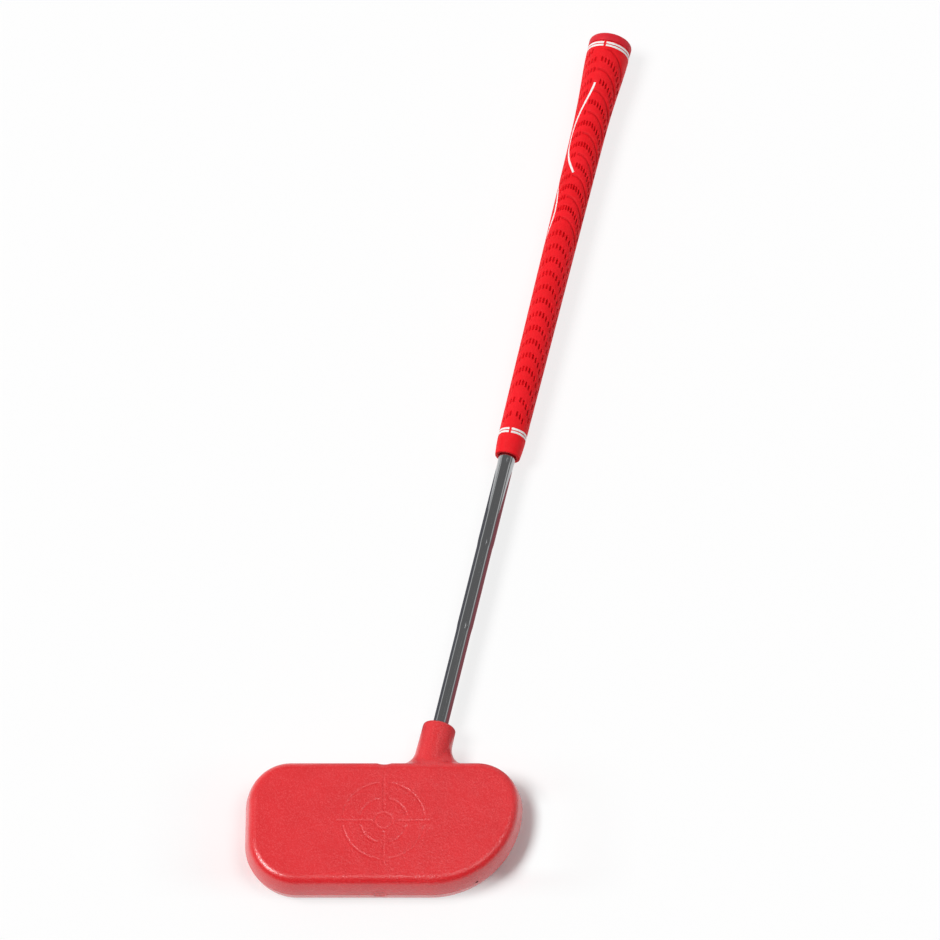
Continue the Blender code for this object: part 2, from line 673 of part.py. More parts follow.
def ring_section(height, grow, rise):
    """Section of a painted ring at a height. grow widens it all round for its groove."""
    bottom = height - RING_WIDTH / 2 - grow
    top = height + RING_WIDTH / 2 + grow
    floor = PAINT_SINK + PAINT_DEPTH + grow
    return [(grip_radius(bottom) - floor, bottom), (grip_radius(bottom) + rise, bottom),
            (grip_radius(top) + rise, top), (grip_radius(top) - floor, top)]


def ring_sweep(height, grow, rise):
    """A ring that stops short of its break by half the break's width on each side."""
    half_break = (RING_BREAK / 2 - grow) / grip_radius(height)
    start = RING_BREAK_ANGLE + half_break
    end = RING_BREAK_ANGLE + math.tau - half_break
    return turned_part_way(ring_section(height, grow, rise), start, end, GRIP_SIDES)


def line_point(line, share, lift):
    """Point on a line down the grip that leaves its end angle, bows to its bow angle and comes back.

    A skew above 1 moves the top of the bow towards the line's lower end.
    """
    height = GRIP_END - line["start"] - line["length"] * share
    bow = math.sin(math.pi * math.copysign(abs(share) ** line["skew"], share))
    angle = line["end_angle"] + (line["bow_angle"] - line["end_angle"]) * bow
    return on_grip(grip_radius(height) + lift, angle, height)


def line_sweep(line, grow, rise):
    shape = bmesh.new()
    rings = []
    extra = grow / line["length"]
    floor = -PAINT_SINK - PAINT_DEPTH - grow
    for i in range(LINE_STATIONS + 1):
        share = -extra + (1 + 2 * extra) * i / LINE_STATIONS
        point = line_point(line, share, 0.0)
        forward = line_point(line, share + 0.5 / LINE_STATIONS, 0.0) - line_point(
            line, share - 0.5 / LINE_STATIONS, 0.0)
        outward = Vector((point.x, point.y, 0.0)).normalized()
        sideways = forward.cross(outward).normalized() * (LINE_WIDTH / 2 + grow)
        rings.append([shape.verts.new(point + sideways * side + outward * lift)
                      for side, lift in ((-1, floor), (1, floor), (1, rise), (-1, rise))])
    bridge(shape, rings)
    shape.faces.new(rings[0])
    shape.faces.new(rings[-1])
    return shape


def make_grip_paint(axis, paint):
    """Make the painted rings and lines, and return the cutters of their grooves."""
    offset = (RING_WIDTH + RING_SPLIT) / 2
    butt = GRIP_END - BUTT_RINGS_FROM_END
    mouth = GRIP_MOUTH + MOUTH_RINGS_FROM_MOUTH
    rings = {"butt_ring_outer": butt + offset, "butt_ring_inner": butt - offset,
             "mouth_ring_inner": mouth + offset, "mouth_ring_outer": mouth - offset}
    lines = {"accent_line_front": FRONT_LINE, "accent_line_side": SIDE_LINE}
    cutters = []
    for name, height in rings.items():
        make_object(name, ring_sweep(height, 0.0, -PAINT_SINK), paint, axis)
        cutters.append(make_object(f"cut_{name}", ring_sweep(height, PAINT_GAP, CUTTER_REACH), parent=axis))
    for name, line in lines.items():
        make_object(name, line_sweep(line, 0.0, -PAINT_SINK), paint, axis)
        cutters.append(make_object(f"cut_{name}", line_sweep(line, PAINT_GAP, CUTTER_REACH), parent=axis))
    return cutters


def build_putter():
    clear_scene()
    head_rubber = make_material("head_rubber", (0.74, 0.06, 0.065), 0.5)
    grip_rubber = make_material("grip_rubber", (0.82, 0.035, 0.045), 0.6)
    cap_rubber = make_material("cap_rubber", (0.62, 0.03, 0.05), 0.6)
    chrome = make_material("shaft_chrome", (0.55, 0.56, 0.57), 0.12, 1.0)
    socket_steel = make_material("socket_steel", (0.42, 0.43, 0.45), 0.35, 1.0)
    epoxy = make_material("tip_epoxy", (0.72, 0.66, 0.45), 0.3)
    plug_plastic = make_material("plug_plastic", (0.05, 0.05, 0.05), 0.5)
    tape = make_material("grip_tape", (0.78, 0.74, 0.62), 0.8)
    paint = make_material("ring_paint", (0.9, 0.89, 0.87), 0.45)

    axis = make_shaft_axis()
    make_head(axis, head_rubber)
    make_socket_tube(axis, socket_steel)
    make_anchor_plate(axis, socket_steel)
    make_tip_bond(axis, epoxy)
    make_tip_plug(axis, plug_plastic)
    make_shaft(axis, chrome)
    make_grip_tape(axis, tape)
    cutters = [make_object("cut_slits", slit_wedges(), parent=axis)] + make_grip_paint(axis, paint)
    make_grip_sleeve(axis, grip_rubber, cutters)
    make_butt_cap(axis, cap_rubber)


build_putter()
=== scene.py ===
"""Looks of the child's mini golf putter: moulded head, stepped chrome shaft, slotted grip.

Sizes are in millimetres in the CAD's frame, apart from the camera's place and the floor, which
are in metres. Heights are measured up the shaft's axis from the crown. Angles round the shaft
start at the front and are positive towards the heel.
"""

import math

import bpy
import numpy as np
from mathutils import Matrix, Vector


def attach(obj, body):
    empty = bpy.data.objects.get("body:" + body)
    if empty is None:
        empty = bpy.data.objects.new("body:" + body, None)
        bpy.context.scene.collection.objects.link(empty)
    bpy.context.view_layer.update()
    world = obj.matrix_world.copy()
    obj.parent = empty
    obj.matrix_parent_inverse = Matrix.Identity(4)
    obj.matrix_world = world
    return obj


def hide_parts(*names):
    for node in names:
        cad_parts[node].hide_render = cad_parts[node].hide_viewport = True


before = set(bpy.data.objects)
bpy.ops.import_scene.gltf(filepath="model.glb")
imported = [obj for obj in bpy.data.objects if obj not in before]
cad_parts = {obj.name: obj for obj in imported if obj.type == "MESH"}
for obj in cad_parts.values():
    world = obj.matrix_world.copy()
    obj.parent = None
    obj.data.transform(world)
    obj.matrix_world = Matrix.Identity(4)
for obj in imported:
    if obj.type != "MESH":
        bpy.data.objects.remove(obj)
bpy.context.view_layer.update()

MM = 0.001

# Head, in millimetres
HALF_WIDTH = 76.0
HALF_HEIGHT = 37.8
HALF_DEPTH = 13.0
CORNERS = ((51.0, 12.8, 25.0, 1, 1), (-51.0, 12.8, 25.0, -1, 1),
           (-47.0, -8.8, 29.0, -1, -1), (25.4, 12.8, 50.6, 1, -1))
WALL_DRAFT = math.radians(4.3)
WALL_BULGE_RADIUS = 39.0
FACE_EDGE_RADIUS = 5.2
NOTCH_WIDTH = 8.0
NOTCH_DEPTH = 0.7
FLASH_HEIGHT = 0.1
FLASH_WIDTH = 0.3
PARTING_SPACING = 0.25
GATE_SCAR = (-2.0, -37.8, 13.0)
GATE_SCAR_RADIUS = 3.4
GATE_SCAR_EDGE = 0.6
GATE_SCAR_DEPTH = 0.3
PIN_HOLE = (51.0, -30.7, 14.1)
PIN_HOLE_RADIUS = 0.7

# Target sunk in each face, in millimetres
TARGET_RISE = 0.5
TARGET_RADII = (4.7, 13.0, 22.4)
TARGET_BREAK = 3.3
TARGET_ARM = (6.9, 25.0)
GROOVE_HALF_WIDTH = 1.0
GROOVE_SIDE = 0.85
GROOVE_DEPTH = 0.125

# Shaft and hosel, in millimetres up the shaft's axis
SHAFT_LEAN = math.radians(12.84)
SHAFT_FOOT = (25.0, 37.8, 13.0)
SHAFT_TIP = -16.0
SHAFT_END = 467.9
SHAFT_TIP_RADIUS = 4.25
SHAFT_WALL = 0.9
FIRST_STEP = 83.3
STEP_SPACING = 53.2
STEP_CONE = 5.0
STEP_RISE = 0.225
TURNED_SIDES = 128
HOSEL_TOP = 24.7
HOSEL_RADIUS = 9.15
HOSEL_TAPER = math.radians(1.3)
HOSEL_RIM_RADIUS = 1.8
HOSEL_FOOT = -10.0
HOSEL_FLARES = (8.0, 12.0, 2.6)
FLARE_FOOT = -12.0
FLARE_RUN = 8.0
BORE_RADIUS = 4.55
BORE_EDGE_RADIUS = 0.35
SOCKET_RADIUS = 6.9
SOCKET_TOP = 21.0
SOCKET_FOOT = -16.4
ANCHOR_TOP = -14.3
ANCHOR_FOOT = -17.9
ANCHOR_HALF_WIDTH = 22.3
ANCHOR_HALF_DEPTH = 8.8

# Grip, in millimetres up the shaft's axis
GRIP_MOUTH = 195.8
GRIP_END = 479.0
CAP_FACE = 473.2
CAP_EDGE_RADIUS = 2.2
CAP_END_RING = ((7.6, 0.0), (7.3, 0.12), (7.1, 0.3), (6.7, 0.3), (6.5, 0.12), (6.2, 0.0))
SPIGOT_END = 468.2
VENT_RADIUS = 1.5
SLEEVE_TOP = 472.9
LIP_TOP = 200.0
MOUTH_RADIUS = 7.975
GRIP_TAPER = 2.625
BUTT_FLARE = 2.25
BUTT_FLARE_TOP = 471.0
BUTT_FLARE_RUN = 31.0
NOSE_DRAW = 0.9
NOSE_TOP = 209.0
NOSE_RUN = 14.0
NOSE_EDGE_RADIUS = 0.3
TAPE_BUILD = 0.95
FIT_GAP = 0.3
SLIT_LENGTH = 3.3
SLIT_WIDTH = 1.0
SLIT_DEPTH = 1.2
SLIT_END_RADIUS = 0.42
SLIT_EDGE = 0.3
SLIT_TO_LINE = 1.8
ARCH_FALL = 0.0021
ARCH_GROOVE_DEPTH = 0.7
ARCH_GROOVE_HALF_WIDTH = 1.2
ARCH_GROOVE_SIDE = 1.1
PATTERN_ANGLE = -12.0
PATTERN_TO_MOUTH = 18.5
PATTERN_TO_BUTT = 12.4
GROOVES_TO_BUTT = 12.0

# Rows of slits: how far the first row lies below the butt, the rows' spacing and their count
UPPER_ROWS = (18.8, 14.6, 8)
LOWER_ROWS = (138.0, 9.12, 12)
LAST_ROWS = (249.1, 9.3, 2)
HALF_ROWS = (11.4, 14.6, 9)

# Degrees from one slit of a row to the next, and where the half rows start
UPPER_TURN = 10.2
LOWER_TURN = 360.0 / 26
LAST_TURN = 14.4
HALF_TURN = 9.8
HALF_START = -11.9

# Paint on the grip. A line has its start below the butt, length, skew, end angle and bow angle
RING_PAIRS = (470.6, 209.5)
RING_HALF_SPACING = 0.95
RINGS = (("butt_ring_outer", RING_PAIRS[0] + RING_HALF_SPACING),
         ("butt_ring_inner", RING_PAIRS[0] - RING_HALF_SPACING),
         ("mouth_ring_inner", RING_PAIRS[1] + RING_HALF_SPACING),
         ("mouth_ring_outer", RING_PAIRS[1] - RING_HALF_SPACING))
RING_BREAK_ANGLE = -10.0
RING_BREAK = 1.4
LINES = (("accent_line_front", 35.0, 62.0, 1.4, -13.0, -66.0),
         ("accent_line_side", 92.0, 60.0, 1.0, -118.0, -54.0))
PAINT_WIDTH = 1.4
PAINT_RISE = 0.05
PAINT_SINK = 0.25
PAINT_WAVER = 0.018
SEAT_SIDE = 0.7
LINE_SEAT_DEPTH = 0.22
RING_SEAT_DEPTH = 0.18
RING_SEAT_HALF_WIDTH = 2.3
SEAM_DEPTH = 0.12
SEAM_HEIGHT = 12.0

# Camera, lamps and the glowing cards beside the shaft, which paint reflections on its edges
CAMERA_PLACE = (0.04723, -0.95126, 2.38412)
CAMERA_TILT = math.radians(26.3)
CAMERA_LENS = 177.70
SENSOR_WIDTH = 36.0
SUNS = (("key", (-0.52, -0.09, 0.85), 2.25, 22.0),
        ("fill", (0.385, -0.04, 0.933), 0.45, 20.0))
REFLECTION_CARDS = (("left_reflection_card", -1.0, (0.17, 0.17, 0.19)),
         ("right_reflection_card", 1.0, (0.40, 0.13, 0.15)))
REFLECTION_CARD_SECTION = ((4.6, 0.2), (30.0, 0.2), (55.0, 3.0), (72.0, 14.0), (80.0, 34.0))
FLOOR_RADIUS = 20.0
FLOOR_SIDES = 96
FLOOR_DROP = 0.0002
FLOOR_WHITE = 0.78

SHAFT_UP = np.array((math.sin(SHAFT_LEAN), math.cos(SHAFT_LEAN), 0.0))
SHAFT_ACROSS = np.array((math.cos(SHAFT_LEAN), -math.sin(SHAFT_LEAN), 0.0))
FRONT = np.array((0.0, 0.0, 1.0))
FOOT = np.array(SHAFT_FOOT)


# Meshes

def make_piece(name, points_mm, quads, material, nodes, normals=None):
    """Object of four-cornered faces that stands for CAD nodes and rides on the only body."""
    mesh = bpy.data.meshes.new(name)
    mesh.vertices.add(len(points_mm))
    mesh.vertices.foreach_set("co", (points_mm * MM).astype(np.float32).ravel())
    mesh.loops.add(quads.size)
    mesh.loops.foreach_set("vertex_index", quads.astype(np.int32).ravel())
    mesh.polygons.add(len(quads))
    mesh.polygons.foreach_set("loop_start", np.arange(0, quads.size, 4, dtype=np.int32))
    mesh.update(calc_edges=True)
    mesh.validate()
    mesh.shade_smooth()
    if normals is not None:
        mesh.normals_split_custom_set_from_vertices(normals.tolist())
    mesh.materials.append(material)
    piece = bpy.data.objects.new(name, mesh)
    bpy.context.scene.collection.objects.link(piece)
    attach(piece, "root")
    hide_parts(*nodes)
    return piece


def on_axis(radius, angle, height):
    """Points in the shaft's axis frame. Arrays of the same shape, angle in radians."""
    across = (radius * np.sin(angle))[..., None] * SHAFT_ACROSS
    forward = (radius * np.cos(angle))[..., None] * FRONT
    return FOOT + height[..., None] * SHAFT_UP + across + forward


def grid_quads(rows, columns, close_rows, close_columns):
    """Faces of a grid of points counted row by row."""
    i = np.arange(rows if close_rows else rows - 1)
    j = np.arange(columns if close_columns else columns - 1)
    i, j = np.meshgrid(i, j, indexing="ij")
    down = (i + 1) % rows
    right = (j + 1) % columns
    corners = (i * columns + j, i * columns + right, down * columns + right, down * columns + j)
    return np.stack([c.ravel() for c in corners], axis=1)


def turned_piece(name, profile, material, nodes):
    """Solid of a closed outline of (radius, height), turned about the shaft's axis."""
    sides = TURNED_SIDES
    outline = np.array(profile)
    angles = np.arange(sides) * math.tau / sides
    radius = np.repeat(outline[:, 0:1], sides, axis=1)
    height = np.repeat(outline[:, 1:2], sides, axis=1)
    angle = np.repeat(angles[None, :], len(outline), axis=0)
    points = on_axis(radius, angle, height).reshape(-1, 3)
    quads = grid_quads(len(outline), sides, True, True)
    return make_piece(name, points, quads, material, nodes)


def arc(centre, radius, start, end, steps):
    """Points (across, up) of an arc between two angles in degrees."""
    turns = np.linspace(math.radians(start), math.radians(end), steps + 1)
    return [(centre[0] + radius * math.cos(t), centre[1] + radius * math.sin(t)) for t in turns]


def smooth_step(value):
    t = np.clip(value, 0.0, 1.0)
    return t * t * (3.0 - 2.0 * t)


# Head's shape as a signed distance in millimetres, negative inside

def outline_distance(x, y):
    """Distance from the face's outline: a box with four round corners and the sight notch."""
    notch_radius = ((NOTCH_WIDTH / 2) ** 2 + NOTCH_DEPTH ** 2) / (2 * NOTCH_DEPTH)
    dip = np.sqrt(np.maximum(notch_radius ** 2 - x ** 2, 0.0)) - (notch_radius - NOTCH_DEPTH)
    crown = HALF_HEIGHT - np.maximum(dip, 0.0)
    distance = np.maximum(np.maximum(y - crown, -y - HALF_HEIGHT), np.abs(x) - HALF_WIDTH)
    for centre_x, centre_y, radius, side_x, side_y in CORNERS:
        beyond = ((x - centre_x) * side_x > 0) & ((y - centre_y) * side_y > 0)
        from_arc = np.hypot(x - centre_x, y - centre_y) - radius
        distance = np.where(beyond, from_arc, distance)
    return distance


def groove_depth(x, y):
    """How deep the target is sunk at a point of a face."""
    x = np.abs(x)
    y = np.abs(y - TARGET_RISE)
    radius = np.hypot(x, y)
    nearest = np.abs(radius - TARGET_RADII[0])
    for ring in TARGET_RADII[1:]:
        end = math.sqrt(ring ** 2 - TARGET_BREAK ** 2)
        beside = np.minimum(np.hypot(x - TARGET_BREAK, y - end),
                            np.hypot(x - end, y - TARGET_BREAK))
        apart = TARGET_BREAK * radius / ring
        on_arc = (x > apart) & (y > apart)
        nearest = np.minimum(nearest, np.where(on_arc, np.abs(radius - ring), beside))
    for along, aside in ((x, y), (y, x)):
        beyond = np.maximum(np.maximum(TARGET_ARM[0] - along, along - TARGET_ARM[1]), 0.0)
        nearest = np.minimum(nearest, np.hypot(aside, beyond))
    return GROOVE_DEPTH * smooth_step((GROOVE_HALF_WIDTH - nearest) / GROOVE_SIDE)


def slab_distance(x, y, z):
    """Distance from the head without its hosel: bulged walls, round face edges and the target."""
    away = outline_distance(x, y)
    level = np.abs(z - HALF_DEPTH)
    far = WALL_BULGE_RADIUS
    centre_out = -far * math.cos(WALL_DRAFT)
    centre_up = -far * math.sin(WALL_DRAFT)
    edge_up = HALF_DEPTH - FACE_EDGE_RADIUS
    edge_out = centre_out + math.sqrt((far - FACE_EDGE_RADIUS) ** 2 - (edge_up - centre_up) ** 2)
    wall = np.hypot(away - centre_out, level - centre_up) - far
    face = level - HALF_DEPTH + groove_depth(x, y)
    slope_out = (edge_out - centre_out) / (far - FACE_EDGE_RADIUS)
    slope_up = (edge_up - centre_up) / (far - FACE_EDGE_RADIUS)
    right = away - edge_out
    up = level - edge_up
    edge = np.hypot(right, up) - FACE_EDGE_RADIUS
    in_edge = (right > 0) & (slope_out * up - slope_up * right > 0)
    return np.where(in_edge, edge, np.where(right > 0, wall, np.maximum(wall, face)))


def axis_coordinates(x, y, z):
    """(distance from the shaft's axis, height up it, distance towards the heel)."""
    from_foot_x = x - SHAFT_FOOT[0]
    from_foot_y = y - SHAFT_FOOT[1]
    height = from_foot_x * SHAFT_UP[0] + from_foot_y * SHAFT_UP[1]
    across = from_foot_x * SHAFT_ACROSS[0] + from_foot_y * SHAFT_ACROSS[1]
    return np.hypot(across, z - SHAFT_FOOT[2]), height, across


def round_corner(a, b, radius):
    """Outer corner of two distances, rounded."""
    return np.minimum(np.maximum(a, b) + radius, 0.0) + np.hypot(
        np.maximum(a + radius, 0.0), np.maximum(b + radius, 0.0)) - radius


def between(value, low, high):
    """Distance from a layer between two levels."""
    return np.maximum(value - high, low - value)


def hollow_distance(radius, height, across, forward):
    """Space in the head for the shaft, the socket tube and the anchor plate."""
    bore = np.maximum(radius - BORE_RADIUS, -height)
    socket = np.maximum(radius - SOCKET_RADIUS, between(height, SOCKET_FOOT, SOCKET_TOP))
    anchor = np.maximum(np.abs(across) - ANCHOR_HALF_WIDTH, np.abs(forward) - ANCHOR_HALF_DEPTH)
    anchor = np.maximum(anchor, between(height, ANCHOR_FOOT, ANCHOR_TOP))
    return np.minimum(bore, np.minimum(socket, anchor))


def from_point(x, y, z, point):
    """Distance from one point."""
    return np.sqrt((x - point[0]) ** 2 + (y - point[1]) ** 2 + (z - point[2]) ** 2)


def head_distance(x, y, z):
    """Distance from the whole head, with its hosel and flare, its small marks and its hollow."""
    slab = slab_distance(x, y, z)
    radius, height, across = axis_coordinates(x, y, z)
    cone = radius - HOSEL_RADIUS - (HOSEL_TOP - height) * math.tan(HOSEL_TAPER)
    cone = cone * math.cos(HOSEL_TAPER)
    hosel = round_corner(cone, height - HOSEL_TOP, HOSEL_RIM_RADIUS)
    hosel = np.maximum(hosel, HOSEL_FOOT - height)
    toe_flare, heel_flare, depth_flare = HOSEL_FLARES
    share = (across / np.maximum(radius, 0.01)) ** 2
    flare = depth_flare + (np.where(across > 0, heel_flare, toe_flare) - depth_flare) * share
    flare = flare * smooth_step((height - FLARE_FOOT) / FLARE_RUN) + 0.01
    fillet = np.hypot(np.maximum(flare - slab, 0.0), np.maximum(flare - hosel, 0.0))
    solid = np.maximum(flare, np.minimum(slab, hosel)) - fillet
    solid = solid - FLASH_HEIGHT * np.exp(-((z - HALF_DEPTH) / FLASH_WIDTH) ** 2)
    scar = GATE_SCAR_RADIUS - from_point(x, y, z, GATE_SCAR)
    solid = solid + GATE_SCAR_DEPTH * smooth_step(scar / GATE_SCAR_EDGE)
    solid = np.maximum(solid, PIN_HOLE_RADIUS - from_point(x, y, z, PIN_HOLE))
    hollow = hollow_distance(radius, height, across, z - HALF_DEPTH)
    return round_corner(solid, -hollow, BORE_EDGE_RADIUS)


def spaced(stretches):
    """Grid lines from (start, end, spacing) stretches that meet end to end."""
    lines = []
    for start, end, spacing in stretches:
        count = round((end - start) / spacing)
        lines += [start + (end - start) * i / count for i in range(count)]
    return np.array(lines + [stretches[-1][1]])


def surface_net(distance, axes):
    """Quads of the zero surface of a distance: one point in each grid cell that it crosses.

    The distance is worked out slice by slice, to save memory.
    """
    slices = 24
    values = np.concatenate([distance(*np.meshgrid(part, axes[1], axes[2], indexing="ij"))
                             for part in np.array_split(axes[0], slices)])
    inside = values < 0
    cell_shape = tuple(len(axis) - 1 for axis in axes)
    cells = []
    crossings = []
    quads = []
    for a in range(3):
        b = (a + 1) % 3
        c = (a + 2) % 3
        low = [slice(None)] * 3
        high = [slice(None)] * 3
        low[a] = slice(None, -1)
        high[a] = slice(1, None)
        index = np.argwhere(inside[tuple(low)] != inside[tuple(high)])
        following = index.copy()
        following[:, a] += 1
        start = values[tuple(index.T)]
        end = values[tuple(following.T)]
        point = np.stack([axes[k][index[:, k]] for k in range(3)], axis=1)
        step = axes[a][following[:, a]] - axes[a][index[:, a]]
        point[:, a] += step * start / (start - end)
        round_edge = []
        for shift_b, shift_c in ((0, 0), (-1, 0), (-1, -1), (0, -1)):
            cell = index.copy()
            cell[:, b] += shift_b
            cell[:, c] += shift_c
            round_edge.append(np.ravel_multi_index(tuple(cell.T), cell_shape))
        quad = np.stack(round_edge, axis=1)
        leaving = start < 0
        quads.append(np.where(leaving[:, None], quad, quad[:, ::-1]))
        cells += round_edge
        crossings += [point] * 4
    cells = np.concatenate(cells)
    crossings = np.concatenate(crossings)
    used, place = np.unique(cells, return_inverse=True)
    counts = np.bincount(place)
    points = np.stack([np.bincount(place, crossings[:, k]) / counts for k in range(3)], axis=1)
    quads = np.searchsorted(used, np.concatenate(quads))
    return points, quads


def gradient(distance, points):
    """Slope of a distance at points, from its change over a short reach each way."""
    reach = 0.02
    x, y, z = points.T
    slopes = [distance(x + reach, y, z) - distance(x - reach, y, z),
              distance(x, y + reach, z) - distance(x, y - reach, z),
              distance(x, y, z + reach) - distance(x, y, z - reach)]
    return np.stack(slopes, axis=1) / (2 * reach)


def settle(distance, points):
    """Move points on to the zero surface and return them with their outward normals."""
    rounds = 3
    longest = 0.3
    for _ in range(rounds):
        slope = gradient(distance, points)
        size = np.maximum(np.sum(slope ** 2, axis=1), 0.25)
        move = -(distance(*points.T) / size)[:, None] * slope
        points = points + np.clip(move, -longest, longest)
    normals = gradient(distance, points)
    length = np.maximum(np.linalg.norm(normals, axis=1), 1e-6)
    return points, normals / length[:, None]


def head_grid():
    """Grid lines round the head in millimetres, fine over the target and at the parting line."""
    fine = 0.3
    coarse = 0.6
    across = [(-77.5, -27.0, coarse), (-27.0, 27.0, fine), (27.0, 77.5, coarse)]
    up = [(-39.5, -26.0, coarse), (-26.0, 27.0, fine), (27.0, 67.0, coarse)]
    forward = [(-1.3, 12.0, coarse), (12.0, 14.0, PARTING_SPACING), (14.0, 27.3, coarse)]
    return spaced(across), spaced(up), spaced(forward)


def make_head(material):
    points, quads = surface_net(head_distance, head_grid())
    points, normals = settle(head_distance, points)
    return make_piece("head_moulding", points, quads, material, ("head",), normals)


# Shaft

def shaft_steps():
    """Heights at which the tube starts to widen."""
    count = math.ceil((SHAFT_END - STEP_CONE - FIRST_STEP) / STEP_SPACING)
    return [FIRST_STEP + STEP_SPACING * i for i in range(count)]


def shaft_radius(height):
    radius = np.full_like(np.asarray(height, float), SHAFT_TIP_RADIUS)
    for step in shaft_steps():
        radius = radius + STEP_RISE * smooth_step((height - step) / STEP_CONE)
    return radius


def make_shaft(material):
    beside = 0.5
    rings = 19
    heights = [SHAFT_TIP, SHAFT_TIP + 0.2, SHAFT_TIP + beside]
    for step in shaft_steps():
        heights += list(np.linspace(step - beside, step + STEP_CONE + beside, rings))
    heights = np.array(heights + [SHAFT_END - beside, SHAFT_END - 0.2, SHAFT_END])
    outside = np.stack([shaft_radius(heights), heights], axis=1)
    inside = outside[::-1] - np.array((SHAFT_WALL, 0.0))
    profile = np.concatenate([outside, inside])
    return turned_piece("shaft_tube", profile, material, ("shaft",))


# Grip

def grip_radius(height):
    """Plain outer radius of the grip: a taper, drawn in at the mouth and flared at the butt."""
    height = np.asarray(height, float)
    along = (height - GRIP_MOUTH) / (GRIP_END - GRIP_MOUTH)
    flare = BUTT_FLARE * np.exp(-np.maximum(0.0, (BUTT_FLARE_TOP - height) / BUTT_FLARE_RUN) ** 2)
    nose = NOSE_DRAW * np.maximum(0.0, (NOSE_TOP - height) / NOSE_RUN) ** 2
    return MOUTH_RADIUS + GRIP_TAPER * along + flare - nose


def half_turn(angle):
    """Angle in degrees brought to -180..180."""
    return (angle + 180.0) % 360.0 - 180.0


def on_surface(height):
    """Millimetres over the grip's surface for each degree round it."""
    return np.radians(1.0) * grip_radius(height)


def fold(angle):
    """Angle in degrees from the nearer of the pattern's two middle lines."""
    turned = half_turn(angle - PATTERN_ANGLE)
    turned = np.where(turned > 90.0, turned - 180.0, turned)
    return np.where(turned < -90.0, turned + 180.0, turned)


def line_angle(share, skew, end_angle, bow_angle):
    """Angle of an accent line at a share of its length: a bow between ends at one angle."""
    bow = np.sin(math.pi * np.clip(share, 0.0, 1.0) ** skew)
    return end_angle + (bow_angle - end_angle) * bow


def paint_distance(angle, height):
    """Distance in millimetres over the grip's surface from the nearest accent line."""
    nearest = np.full(np.broadcast(angle, height).shape, 99.0)
    around = on_surface(height)
    for _, start, length, skew, end_angle, bow_angle in LINES:
        for share in np.linspace(0.0, 1.0, 60):
            aside = half_turn(line_angle(share, skew, end_angle, bow_angle) - angle)
            along = GRIP_END - start - length * share - height
            nearest = np.minimum(nearest, np.hypot(aside * around, along))
    return nearest


def slit_places():
    """(angle, height) of every slit in the grip.

    The rows arch down from each middle line. The top row lacks the slit just before that line.
    """
    patterns = ((UPPER_ROWS, [UPPER_TURN * (k + 0.5) for k in range(-9, 9)]),
                (LOWER_ROWS, [LOWER_TURN * (k + 0.5) for k in range(-6, 6)] + [90.0]),
                (LAST_ROWS, [LAST_TURN * k for k in range(-5, 6) if k != 0]),
                (HALF_ROWS, [HALF_START - HALF_TURN * k for k in range(8)]))
    places = []
    for rows, angles in patterns:
        first, pitch, count = rows
        for row in range(count):
            for angle in angles:
                if rows is UPPER_ROWS and row == 0 and -UPPER_TURN < angle < 0.0:
                    continue
                drop = first + pitch * row + ARCH_FALL * angle ** 2
                for side in (0.0, 180.0):
                    places.append((angle + PATTERN_ANGLE + side, GRIP_END - drop))
    places = np.array(places)
    kept = places[:, 1] > GRIP_MOUTH + PATTERN_TO_MOUTH
    kept &= places[:, 1] < GRIP_END - PATTERN_TO_BUTT
    for end in (-0.5, 0.0, 0.5):
        kept &= paint_distance(places[:, 0], places[:, 1] + end * SLIT_LENGTH) > SLIT_TO_LINE
    return places[kept]


def sink_slits(sunk, angles, heights):
    """Deepen sunk, an array over heights and angles, at every slit."""
    reach_degrees = 14.0
    scatter = np.random.default_rng(7)
    for angle, height in slit_places():
        length = SLIT_LENGTH * scatter.uniform(0.93, 1.05)
        width = SLIT_WIDTH * scatter.uniform(0.94, 1.08)
        depth = SLIT_DEPTH * scatter.uniform(0.9, 1.05)
        rows = np.flatnonzero(np.abs(heights - height) < SLIT_LENGTH)
        around = half_turn(angles - angle)
        columns = np.flatnonzero(np.abs(around) < reach_degrees)
        aside = np.abs(around[columns])[None, :] * on_surface(heights[rows])[:, None]
        along = np.abs(heights[rows] - height)[:, None]
        out = np.hypot(np.maximum(aside - width / 2 + SLIT_END_RADIUS, 0.0),
                       np.maximum(along - length / 2 + SLIT_END_RADIUS, 0.0)) - SLIT_END_RADIUS
        cut = depth * smooth_step(0.5 - out / SLIT_EDGE)
        window = np.ix_(rows, columns)
        sunk[window] = np.maximum(sunk[window], cut)


def sink_grooves(sunk, angles, heights):
    """Deepen sunk at the thin arched grooves between the upper rows of slits.

    A groove runs from a middle line the way the angles rise, and fades out at both ends.
    """
    folded = fold(angles)[None, :]
    slope = 2 * ARCH_FALL * folded / on_surface(heights)[:, None]
    first, pitch, count = HALF_ROWS
    length = smooth_step((folded + 4.0) / 5.0) * smooth_step((88.0 - folded) / 5.0)
    clear = heights[:, None] < GRIP_END - GROOVES_TO_BUTT
    for row in range(count):
        along = GRIP_END - first - pitch * row - ARCH_FALL * folded ** 2 - heights[:, None]
        away = np.abs(along) / np.sqrt(1.0 + slope ** 2)
        side = smooth_step((ARCH_GROOVE_HALF_WIDTH - away) / ARCH_GROOVE_SIDE)
        np.maximum(sunk, ARCH_GROOVE_DEPTH * length * side * clear, out=sunk)


